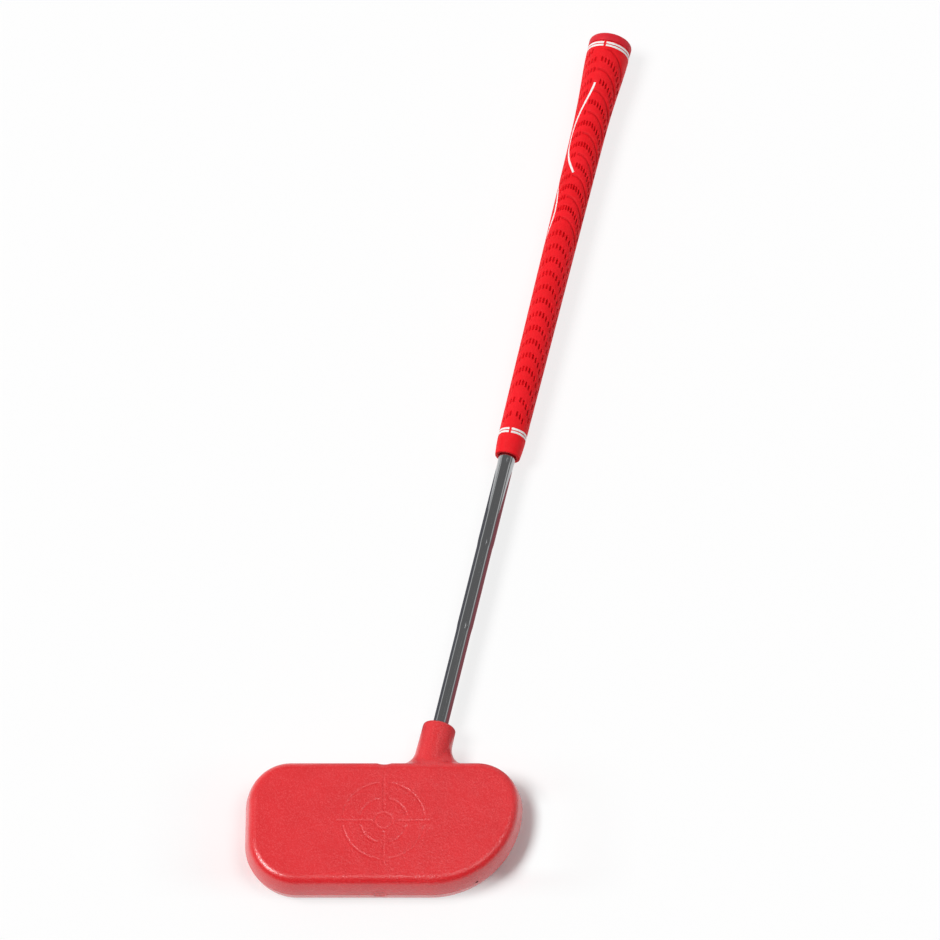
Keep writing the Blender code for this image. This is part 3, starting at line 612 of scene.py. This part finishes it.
def sleeve_surface(angles, heights):
    """Outer radius of the grip over heights and angles, with what paint lies in but no slits."""
    radius = np.repeat(grip_radius(heights)[:, None], len(angles), axis=1)
    away = paint_distance(angles[None, :], heights[:, None])
    line_reach = PAINT_WIDTH / 2 + SEAT_SIDE
    radius = radius - LINE_SEAT_DEPTH * smooth_step((line_reach - away) / SEAT_SIDE)
    for middle in RING_PAIRS:
        away = np.abs(heights - middle)[:, None]
        radius = radius - RING_SEAT_DEPTH * smooth_step((RING_SEAT_HALF_WIDTH - away) / SEAT_SIDE)
    return radius


def sleeve_bore():
    """(radius, height) from the sleeve's top edge down its bore to the lip at its mouth."""
    profile = [(float(grip_radius(SLEEVE_TOP)) - 0.25, SLEEVE_TOP)]
    for height in np.linspace(SLEEVE_TOP, LIP_TOP, 60):
        profile.append((float(shaft_radius(min(height, SHAFT_END))) + TAPE_BUILD, height))
    lip = float(shaft_radius(GRIP_MOUTH)) + FIT_GAP
    return profile + [(lip, LIP_TOP), (lip, GRIP_MOUTH + 0.2), (lip + 0.2, GRIP_MOUTH)]


def make_sleeve(material):
    """Grip's skin, with a point attribute that its material darkens by, as painted shade: how
    deep each point is sunk, and 0.5 in the gaps between the paired rings.
    """
    columns = 260
    row_height = 0.33
    angles = np.arange(columns) * 360.0 / columns - 180.0 + PATTERN_ANGLE
    outer_edge = float(grip_radius(GRIP_MOUTH)) - NOSE_EDGE_RADIUS
    nose = arc((outer_edge, GRIP_MOUTH + NOSE_EDGE_RADIUS), NOSE_EDGE_RADIUS, -90.0, 0.0, 4)
    count = round((SLEEVE_TOP - 0.3 - GRIP_MOUTH - 0.4) / row_height)
    heights = np.linspace(GRIP_MOUTH + 0.4, SLEEVE_TOP - 0.3, count)
    outside = sleeve_surface(angles, heights)
    sunk = np.zeros_like(outside)
    sink_slits(sunk, angles, heights)
    sink_grooves(sunk, angles, heights)
    seam = np.exp(-(half_turn(angles - RING_BREAK_ANGLE) / 1.6) ** 2)
    low_band = smooth_step((GRIP_MOUTH + SEAM_HEIGHT - heights) / 1.5)
    outside = outside - sunk - SEAM_DEPTH * low_band[:, None] * seam[None, :]
    inside = sleeve_bore()
    full = np.ones(columns)
    rows = [(radius * full, height) for radius, height in nose]
    rows += [(outside[i], height) for i, height in enumerate(heights)]
    rows += [(radius * full, height) for radius, height in inside]
    radius = np.stack([row[0] for row in rows])
    height = np.repeat(np.array([row[1] for row in rows])[:, None], columns, axis=1)
    angle = np.repeat(np.radians(angles)[None, :], len(rows), axis=0)
    points = on_axis(radius, angle, height).reshape(-1, 3)
    quads = grid_quads(len(rows), columns, True, True)
    piece = make_piece("grip_skin", points, quads, material, ("grip_sleeve",))
    # Painted shade: the gaps between the paired rings are given 0.5, so that the material colours
    # them dark as if shaded.
    shade_between_rings = sum(np.exp(-((heights - middle) / 0.3) ** 2) for middle in RING_PAIRS)
    depth = np.zeros_like(radius)
    depth[len(nose):len(nose) + len(heights)] = np.maximum(sunk, 0.5 * shade_between_rings[:, None])
    painted_shade_mm = piece.data.attributes.new("painted_shade_mm", "FLOAT", "POINT")
    painted_shade_mm.data.foreach_set("value", depth.astype(np.float32).ravel())
    return piece


def make_cap(material):
    """Cap with a spigot, a rounded edge, a shallow ring in its end and a vent."""
    end = float(grip_radius(GRIP_END))
    face = float(grip_radius(CAP_FACE))
    spigot = float(shaft_radius(SHAFT_END)) + TAPE_BUILD - FIT_GAP
    edge = CAP_EDGE_RADIUS
    profile = [(VENT_RADIUS, SPIGOT_END), (spigot, SPIGOT_END), (spigot, CAP_FACE)]
    profile += [(face - 0.35, CAP_FACE), (face - 0.1, CAP_FACE + 0.1), (face, CAP_FACE + 0.35)]
    profile += arc((end - edge, GRIP_END - edge), edge, 0.0, 90.0, 12)
    for radius, drop in CAP_END_RING:
        profile.append((radius, GRIP_END - drop))
    profile += [(VENT_RADIUS + 0.6, GRIP_END), (VENT_RADIUS + 0.2, GRIP_END - 0.12)]
    profile.append((VENT_RADIUS, GRIP_END - 0.4))
    return turned_piece("butt_cap_moulding", profile, material, ("butt_cap",))


# Paint on the grip

def drawn_in(row):
    """A row of points drawn in to a tenth of its size, which all but closes a strip's end."""
    return row - (row - row.mean(axis=1, keepdims=True)) * 0.9


def paint_strip(name, centre_angles, centre_heights, material):
    """Painted band that follows points on the grip, with a slightly uneven edge."""
    count = len(centre_angles)
    scatter = np.random.default_rng(sum(ord(letter) for letter in name))
    radius = grip_radius(centre_heights)
    along = np.gradient(centre_heights)
    aside = np.gradient(centre_angles) * radius
    size = np.hypot(along, aside)
    shares = (-1.0, -0.93, -0.5, 0.0, 0.5, 0.93, 1.0)
    low = PAINT_RISE * 0.6
    lifts = (-PAINT_SINK, low, PAINT_RISE, PAINT_RISE, PAINT_RISE, low, -PAINT_SINK)
    waver = np.zeros((2, count))
    for side in range(2):
        for period in (7.0, 17.0, 31.0):
            phase = scatter.uniform(0.0, math.tau)
            waver[side] += PAINT_WAVER * np.sin(np.arange(count) * math.tau / period + phase)
    rows = []
    for share, lift in zip(shares, lifts):
        half = PAINT_WIDTH / 2 + waver[0 if share < 0 else 1]
        angle = centre_angles + share * half * along / size / radius
        height = centre_heights - share * half * aside / size
        surface = np.array([sleeve_surface(np.degrees(angle[i:i + 1]), height[i:i + 1])[0, 0]
                            for i in range(count)])
        rows.append(on_axis(surface + lift, angle, height))
    points = np.stack(rows, axis=1)
    points = np.concatenate([drawn_in(points[:1]), points, drawn_in(points[-1:])])
    quads = grid_quads(len(points), len(shares), False, True)
    points = points.reshape(-1, 3)
    return make_piece(f"{name}_paint", points, quads, material, (name,))


def make_paint(material):
    ring_points = 181
    for name, middle in RINGS:
        half_break = math.degrees(RING_BREAK / 2 / float(grip_radius(middle)))
        angles = np.linspace(half_break, 360.0 - half_break, ring_points) + RING_BREAK_ANGLE
        paint_strip(name, np.radians(angles), np.full(ring_points, middle), material)
    for name, start, length, skew, end_angle, bow_angle in LINES:
        shares = np.linspace(0.0, 1.0, 121)
        angles = np.radians(line_angle(shares, skew, end_angle, bow_angle))
        paint_strip(name, angles, GRIP_END - start - length * shares, material)


# Materials

class Nodes:
    """Short calls that add nodes to a node tree."""

    def __init__(self, tree):
        self.tree = tree

    def add(self, kind, **settings):
        node = self.tree.nodes.new(kind)
        for key, value in settings.items():
            setattr(node, key, value)
        return node

    def put(self, socket, value):
        if isinstance(value, bpy.types.NodeSocket):
            self.tree.links.new(value, socket)
        else:
            socket.default_value = value

    def span(self, value, low, high, to_low=0.0, to_high=1.0):
        """value from low..high brought to to_low..to_high, and held there."""
        node = self.add("ShaderNodeMapRange", clamp=True)
        self.put(node.inputs["Value"], value)
        node.inputs["From Min"].default_value = low
        node.inputs["From Max"].default_value = high
        node.inputs["To Min"].default_value = to_low
        node.inputs["To Max"].default_value = to_high
        return node.outputs["Result"]

    def combine(self, operation, a, b):
        node = self.add("ShaderNodeMath", operation=operation)
        self.put(node.inputs[0], a)
        self.put(node.inputs[1], b)
        return node.outputs[0]

    def mixed(self, share, first, second):
        """Number that goes from first to second as share goes from 0 to 1."""
        node = self.add("ShaderNodeMix", data_type="FLOAT")
        for socket, value in zip(node.inputs[0:1] + node.inputs[2:4], (share, first, second)):
            self.put(socket, value)
        return node.outputs[0]

    def show_white(self, shader, output, share):
        """Mix white into what the camera and reflections see, and leave the light as it is."""
        path = self.add("ShaderNodeLightPath")
        seen = self.combine("ADD", path.outputs["Is Camera Ray"], path.outputs["Is Glossy Ray"])
        seen = self.combine("ADD", seen, path.outputs["Is Transmission Ray"])
        white = self.add("ShaderNodeEmission")
        mix = self.add("ShaderNodeMixShader")
        self.put(mix.inputs[0], self.combine("MULTIPLY", seen, share))
        self.put(mix.inputs[1], shader)
        self.put(mix.inputs[2], white.outputs[0])
        self.put(output, mix.outputs[0])


class Shader(Nodes):
    """A material's node tree, built up from its place in millimetres."""

    def __init__(self, name):
        self.material = bpy.data.materials.new(name)
        self.material.use_nodes = True
        super().__init__(self.material.node_tree)
        self.surface = self.tree.nodes["Principled BSDF"]
        place = self.add("ShaderNodeTexCoord")
        scaled = self.add("ShaderNodeVectorMath", operation="SCALE")
        self.tree.links.new(place.outputs["Object"], scaled.inputs[0])
        scaled.inputs["Scale"].default_value = 1000.0
        self.place_mm = scaled.outputs[0]

    def stretched(self, across, along, forward):
        """Place in the shaft's own directions, each direction scaled."""
        mapping = self.add("ShaderNodeMapping", vector_type="POINT")
        self.put(mapping.inputs["Vector"], self.place_mm)
        mapping.inputs["Rotation"].default_value = (0.0, 0.0, SHAFT_LEAN)
        scaled = self.add("ShaderNodeVectorMath", operation="MULTIPLY")
        self.put(scaled.inputs[0], mapping.outputs[0])
        scaled.inputs[1].default_value = (across, along, forward)
        return scaled.outputs[0]

    def noise(self, scale, detail=2.0, roughness=0.5, place=None):
        node = self.add("ShaderNodeTexNoise")
        self.put(node.inputs["Vector"], place or self.place_mm)
        node.inputs["Scale"].default_value = scale
        node.inputs["Detail"].default_value = detail
        node.inputs["Roughness"].default_value = roughness
        return node.outputs["Fac"]

    def cells(self, scale):
        """Distance from the nearest of many scattered points."""
        node = self.add("ShaderNodeTexVoronoi")
        self.put(node.inputs["Vector"], self.place_mm)
        node.inputs["Scale"].default_value = scale
        return node.outputs["Distance"]

    def blend(self, share, first, second):
        """Colour that goes from first to second as share goes from 0 to 1."""
        node = self.add("ShaderNodeMix", data_type="RGBA")
        self.put(node.inputs["Factor"], share)
        for socket, value in ((node.inputs[6], first), (node.inputs[7], second)):
            self.put(socket, value if isinstance(value, bpy.types.NodeSocket) else (*value, 1.0))
        return node.outputs[2]

    def bump(self, height, distance_mm, strength=1.0, normal=None):
        node = self.add("ShaderNodeBump")
        self.put(node.inputs["Height"], height)
        node.inputs["Distance"].default_value = distance_mm * MM
        node.inputs["Strength"].default_value = strength
        if normal is not None:
            self.put(node.inputs["Normal"], normal)
        return node.outputs[0]

    def distance(self, point_mm):
        """Millimetres from a point."""
        node = self.add("ShaderNodeVectorMath", operation="DISTANCE")
        self.put(node.inputs[0], self.place_mm)
        node.inputs[1].default_value = point_mm
        return node.outputs["Value"]

    def coordinate(self, axis):
        """Place along X, Y or Z, axis 0, 1 or 2, in millimetres."""
        node = self.add("ShaderNodeSeparateXYZ")
        self.put(node.inputs[0], self.place_mm)
        return node.outputs[axis]

    def finish(self, **inputs):
        """Set the surface's inputs, named with _ for a space, and return the material."""
        for key, value in inputs.items():
            self.put(self.surface.inputs[key.replace("_", " ")], value)
        return self.material


def around_point(s, point_mm, radius, fade_from, fade_to):
    """1 inside a small round mark, and 0 past it."""
    return s.span(s.distance(point_mm), radius + fade_from, radius + fade_to, 1.0, 0.0)


def head_rubber():
    """Moulded rubber under a thin sheen, with a grain that grows from the toe to the middle."""
    s = Shader("head_rubber_moulded")
    grain = s.noise(0.9, 3.0, 0.65)
    fine = s.noise(1.6, 2.0, 0.6)
    cloud = s.noise(0.045, 2.0, 0.5)
    towards_heel = s.span(s.coordinate(0), -62.0, 0.0, 0.7, 1.35)
    height = s.combine("ADD", grain, s.combine("MULTIPLY", fine, 0.35))
    height = s.combine("MULTIPLY", height, towards_heel)
    patchy = s.span(s.noise(0.11, 2.0, 0.5), 0.4, 0.62, 0.92, 1.12)
    height = s.combine("MULTIPLY", height, patchy)
    dents = s.span(s.cells(0.28), 0.0, 0.22, 0.0, 1.0)
    dented = s.bump(dents, 0.03, 0.5)
    normal = s.bump(height, 0.36, 1.0, dented)
    smoother = s.bump(height, 0.15, 1.0, dented)
    color = s.blend(s.span(cloud, 0.3, 0.7), (0.765, 0.0125, 0.0185), (0.82, 0.0175, 0.0245))
    # Painted glints: pale specks over the grain stand in for sparkles where its facets catch the
    # light.
    painted_glint_speckle = s.combine("MULTIPLY", s.span(fine, 0.52, 0.66, 0.0, 0.5), patchy)
    color = s.blend(painted_glint_speckle, color, (0.90, 0.085, 0.090))
    scar = around_point(s, GATE_SCAR, GATE_SCAR_RADIUS, 0.6, 1.8)
    color = s.blend(s.combine("MULTIPLY", scar, 0.8), color, (0.80, 0.010, 0.016))
    # Painted shade: the pin hole is coloured dark, where shade falls inside it.
    pin_hole_shade = around_point(s, PIN_HOLE, PIN_HOLE_RADIUS, 0.05, 0.35)
    color = s.blend(pin_hole_shade, color, (0.36, 0.02, 0.03))
    roughness = s.span(fine, 0.3, 0.7, 0.36, 0.48)
    roughness = s.combine("ADD", roughness, s.combine("MULTIPLY", scar, 0.3))
    return s.finish(Base_Color=color, Roughness=roughness, Normal=normal, Specular_IOR_Level=0.15,
                    Coat_Weight=0.86, Coat_IOR=1.68, Coat_Roughness=0.26,
                    Coat_Normal=smoother)


def grip_rubber():
    s = Shader("grip_rubber_moulded")
    fine = s.noise(3.4, 3.0, 0.6)
    cloud = s.noise(0.06, 2.0, 0.5)
    worn = s.span(s.noise(0.35, 4.0, 0.65), 0.5, 0.72)
    normal = s.bump(fine, 0.05, 0.8)
    color = s.blend(s.span(cloud, 0.3, 0.7), (0.84, 0.007, 0.013), (0.91, 0.010, 0.019))
    color = s.blend(s.combine("MULTIPLY", worn, 0.13), color, (0.93, 0.06, 0.06))
    # Painted shade: slits, arched grooves and the gaps between paired rings are coloured darker
    # the deeper they lie, standing in for the shade in them.
    sunk = s.add("ShaderNodeAttribute", attribute_name="painted_shade_mm").outputs["Fac"]
    color = s.blend(s.span(sunk, 0.1, 0.8, 0.0, 0.9), color, (0.60, 0.001, 0.006))
    roughness = s.span(worn, 0.0, 1.0, 0.56, 0.44)
    return s.finish(Base_Color=color, Roughness=roughness, Normal=normal, Specular_IOR_Level=0.14)


def cap_rubber():
    s = Shader("cap_rubber_moulded")
    fine = s.noise(2.2, 3.0, 0.6)
    cloud = s.noise(0.15, 2.0, 0.5)
    color = s.blend(s.span(cloud, 0.3, 0.7), (0.66, 0.009, 0.022), (0.74, 0.014, 0.028))
    return s.finish(Base_Color=color, Roughness=s.span(fine, 0.3, 0.7, 0.48, 0.62),
                    Normal=s.bump(fine, 0.05, 0.8), Specular_IOR_Level=0.3)


def shaft_chrome():
    s = Shader("shaft_chrome_plated")
    drawn = s.noise(1.0, 3.0, 0.6, s.stretched(2.2, 0.012, 2.2))
    haze = s.noise(0.06, 3.0, 0.6)
    scratches = s.span(s.noise(1.0, 2.0, 0.7, s.stretched(6.0, 0.10, 6.0)), 0.62, 0.70)
    color = s.blend(s.span(drawn, 0.3, 0.7), (0.40, 0.41, 0.42), (0.47, 0.475, 0.48))
    roughness = s.span(haze, 0.3, 0.7, 0.07, 0.14)
    roughness = s.combine("ADD", roughness, s.combine("MULTIPLY", scratches, 0.10))
    normal = s.bump(drawn, 0.004, 0.6)
    return s.finish(Base_Color=color, Metallic=1.0, Roughness=roughness, Normal=normal)


def ring_paint():
    s = Shader("ring_paint_enamel")
    fine = s.noise(2.6, 3.0, 0.6)
    thin = s.span(s.noise(0.9, 3.0, 0.7), 0.62, 0.78, 0.0, 0.35)
    color = s.blend(thin, (0.90, 0.885, 0.87), (0.86, 0.46, 0.44))
    return s.finish(Base_Color=color, Roughness=s.span(fine, 0.3, 0.7, 0.38, 0.5),
                    Normal=s.bump(fine, 0.03, 0.7))


def brushed_steel():
    s = Shader("socket_steel_drawn")
    drawn = s.noise(1.0, 3.0, 0.6, s.stretched(2.5, 0.05, 2.5))
    stain = s.noise(0.25, 4.0, 0.65)
    color = s.blend(s.span(stain, 0.45, 0.7), (0.45, 0.46, 0.47), (0.30, 0.27, 0.24))
    return s.finish(Base_Color=color, Metallic=1.0, Roughness=s.span(drawn, 0.3, 0.7, 0.28, 0.42),
                    Normal=s.bump(drawn, 0.01))


def cured_epoxy():
    s = Shader("tip_epoxy_cured")
    bubbles = s.span(s.cells(0.9), 0.0, 0.25, 1.0, 0.0)
    cloud = s.noise(0.3, 3.0)
    color = s.blend(s.span(cloud, 0.3, 0.7), (0.62, 0.52, 0.28), (0.74, 0.67, 0.45))
    return s.finish(Base_Color=color, Roughness=s.span(cloud, 0.3, 0.7, 0.18, 0.35),
                    Normal=s.bump(bubbles, 0.08, 0.6))


def plug_plastic():
    s = Shader("plug_plastic_moulded")
    fine = s.noise(1.6, 3.0, 0.6)
    color = s.blend(s.span(s.noise(0.4), 0.3, 0.7), (0.035, 0.035, 0.038), (0.065, 0.065, 0.068))
    return s.finish(Base_Color=color, Roughness=s.span(fine, 0.3, 0.7, 0.42, 0.6),
                    Normal=s.bump(fine, 0.03))


def masking_tape():
    s = Shader("grip_tape_creped")
    crepe = s.noise(1.0, 3.0, 0.6, s.stretched(0.35, 2.4, 0.35))
    cloud = s.noise(0.08, 3.0)
    color = s.blend(s.span(cloud, 0.3, 0.7), (0.72, 0.66, 0.50), (0.82, 0.78, 0.66))
    return s.finish(Base_Color=color, Roughness=0.85, Normal=s.bump(crepe, 0.06, 0.9))


def dress_hidden_nodes(nodes):
    """Give the CAD's own solids inside the club their finish."""
    for name, material in (("socket_tube", brushed_steel()), ("tip_bond", cured_epoxy()),
                           ("tip_plug", plug_plastic()), ("grip_tape", masking_tape())):
        nodes[name].data.materials[0] = material
    nodes["anchor_plate"].data.materials[0] = nodes["socket_tube"].data.materials[0]


# Studio

def white_beside_head(s, share):
    """Share of white on the floor, lowered beside the head so that its shadow shows darker there:
    painted shade.
    """
    aside = s.combine("ABSOLUTE", s.coordinate(0), 0.0)
    up = s.coordinate(1)
    shadowed = s.span(up, -22.0, 6.0, share, share - 0.2)
    shadowed = s.combine("MULTIPLY", shadowed, s.span(up, -36.0, -19.0))
    shadowed = s.combine("MULTIPLY", shadowed, s.span(up, 30.0, 55.0, 1.0, 0.0))
    shadowed = s.combine("MULTIPLY", shadowed, s.span(aside, 95.0, 140.0, 1.0, 0.0))
    return s.combine("SUBTRACT", share, shadowed)


def away_from_heel(s):
    """Millimetres from the head's outline at its heel, which is one arc below and one above."""
    away = []
    for x, y, radius, _, _ in (CORNERS[3], CORNERS[0]):
        away.append(s.combine("SUBTRACT", s.distance((x, y, 0.0)), radius))
    is_above = s.combine("GREATER_THAN", s.coordinate(1), CORNERS[0][1])
    return s.mixed(is_above, *away)


def heel_side(s):
    """1 on the floor at the head's heel side, and 0 away from there."""
    x = s.coordinate(0)
    up = s.coordinate(1)
    area = s.combine("MULTIPLY", s.span(x, 55.0, 65.0), s.span(up, -25.0, -16.0))
    area = s.combine("MULTIPLY", area, s.span(up, 20.0, 34.0, 1.0, 0.0))
    return s.combine("MULTIPLY", area, s.span(x, 90.0, 120.0, 1.0, 0.0))


def make_floor():
    """White floor that keeps the object's shadow, but shows it paler than it falls."""
    s = Shader("studio_floor")
    s.finish(Base_Color=(0.97, 0.97, 0.97, 1.0), Roughness=0.9, Specular_IOR_Level=0.0)
    share = white_beside_head(s, FLOOR_WHITE)
    # Painted shadow: beside the heel the white share rises from none within 4.8 mm of the wall to
    # nearly full at 12 mm out. The contact shadow therefore shows darker and narrower than it
    # falls, in reflections too.
    share = s.mixed(heel_side(s), share, s.span(away_from_heel(s), 4.8, 12.0, 0.0, 0.95))
    s.show_white(s.surface.outputs[0], s.tree.nodes["Material Output"].inputs[0], share)
    mesh = bpy.data.meshes.new("studio_floor")
    turns = np.linspace(0, math.tau, FLOOR_SIDES, False)
    ring = [(FLOOR_RADIUS * math.cos(t), FLOOR_RADIUS * math.sin(t), 0.0) for t in turns]
    mesh.from_pydata(ring, [], [list(range(FLOOR_SIDES))])
    mesh.materials.append(s.material)
    floor = bpy.data.objects.new("studio_floor", mesh)
    floor.location.z = -FLOOR_DROP
    bpy.context.scene.collection.objects.link(floor)


def make_reflection_card(name, side, color):
    """Glowing card beside the shaft that only reflections see. It is a painted reflection: a dark
    or crimson streak along the shaft's edge.
    """
    material = bpy.data.materials.new(name)
    material.use_nodes = True
    tree = material.node_tree
    tree.nodes.clear()
    glow = tree.nodes.new("ShaderNodeEmission")
    glow.inputs["Color"].default_value = (*color, 1.0)
    output = tree.nodes.new("ShaderNodeOutputMaterial")
    tree.links.new(glow.outputs[0], output.inputs[0])
    points = []
    for height in (HOSEL_TOP + 1.0, GRIP_MOUTH - 2.0):
        for aside, up in REFLECTION_CARD_SECTION:
            below = (FOOT + SHAFT_UP * height + SHAFT_ACROSS * side * aside) * (1, 1, 0)
            points.append(below + FRONT * up)
    points = np.array(points) * MM
    count = len(REFLECTION_CARD_SECTION)
    faces = [(i, i + 1, count + i + 1, count + i) for i in range(count - 1)]
    mesh = bpy.data.meshes.new(name)
    mesh.from_pydata(points.tolist(), [], faces)
    mesh.materials.append(material)
    reflection_card = bpy.data.objects.new(name, mesh)
    bpy.context.scene.collection.objects.link(reflection_card)
    reflection_card.visible_camera = False
    reflection_card.visible_diffuse = False
    reflection_card.visible_shadow = False
    reflection_card.visible_transmission = False
    reflection_card.visible_volume_scatter = False


def add_sun(name, direction, strength, angle):
    lamp = bpy.data.lights.new(name, "SUN")
    lamp.energy = strength
    lamp.angle = math.radians(angle)
    holder = bpy.data.objects.new(name, lamp)
    holder.rotation_euler = Vector(direction).to_track_quat("Z", "Y").to_euler()
    bpy.context.scene.collection.objects.link(holder)


def make_world():
    """Dim studio that the camera sees as plain white.

    At the back it is bright near the horizon, with a slanting band of light above, and two
    strips run overhead.
    """
    world = bpy.data.worlds.new("studio")
    bpy.context.scene.world = world
    world.use_nodes = True
    s = Nodes(world.node_tree)
    s.tree.nodes.clear()
    place = s.add("ShaderNodeTexCoord")
    parts = s.add("ShaderNodeSeparateXYZ")
    s.put(parts.inputs[0], place.outputs["Generated"])
    across, back, up = parts.outputs
    aside = s.combine("ABSOLUTE", across, 0.0)
    behind = s.span(back, -0.1, 0.25)
    low = s.combine("MULTIPLY", s.span(up, 0.10, 0.16, 1.0, 0.0), behind)
    level = s.combine("ADD", up, s.span(across, -0.3, 0.3, 0.13, 0.0))
    band = s.combine("MULTIPLY", s.span(level, 0.34, 0.38), s.span(level, 0.52, 0.58, 1.0, 0.0))
    band = s.combine("MULTIPLY", band, behind)
    strip = s.combine("MULTIPLY", s.span(aside, 0.16, 0.19), s.span(aside, 0.30, 0.33, 1.0, 0.0))
    strip = s.combine("MULTIPLY", strip, s.span(up, 0.93, 0.945))
    light = s.combine("ADD", s.combine("MULTIPLY", low, 0.75), s.combine("MULTIPLY", band, 0.62))
    light = s.combine("ADD", light, s.combine("MULTIPLY", strip, 1.2))
    light = s.combine("ADD", light, s.span(back, -0.35, 0.2, 0.06, 0.21))
    lit = s.add("ShaderNodeBackground")
    s.put(lit.inputs["Strength"], light)
    lit.inputs["Color"].default_value = (1.0, 1.0, 1.0, 1.0)
    white = s.add("ShaderNodeBackground")
    white.inputs["Color"].default_value = (1.0, 1.0, 1.0, 1.0)
    seen = s.add("ShaderNodeLightPath")
    mix = s.add("ShaderNodeMixShader")
    output = s.add("ShaderNodeOutputWorld")
    s.put(mix.inputs[0], seen.outputs["Is Camera Ray"])
    s.put(mix.inputs[1], lit.outputs[0])
    s.put(mix.inputs[2], white.outputs[0])
    s.put(output.inputs["Surface"], mix.outputs[0])


def make_camera():
    data = bpy.data.cameras.new("camera")
    data.sensor_width = SENSOR_WIDTH
    data.lens = CAMERA_LENS
    data.clip_end = 100.0
    camera = bpy.data.objects.new("camera", data)
    camera.location = CAMERA_PLACE
    camera.rotation_euler = (CAMERA_TILT, 0.0, 0.0)
    bpy.context.scene.collection.objects.link(camera)
    bpy.context.scene.camera = camera


def main():
    make_camera()
    make_floor()
    make_world()
    for name, direction, strength, angle in SUNS:
        add_sun(name, direction, strength, angle)
    for name, side, color in REFLECTION_CARDS:
        make_reflection_card(name, side, color)
    make_head(head_rubber())
    make_shaft(shaft_chrome())
    make_sleeve(grip_rubber())
    make_cap(cap_rubber())
    make_paint(ring_paint())
    dress_hidden_nodes(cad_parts)
    bpy.context.scene.view_settings.view_transform = "Standard"


main()
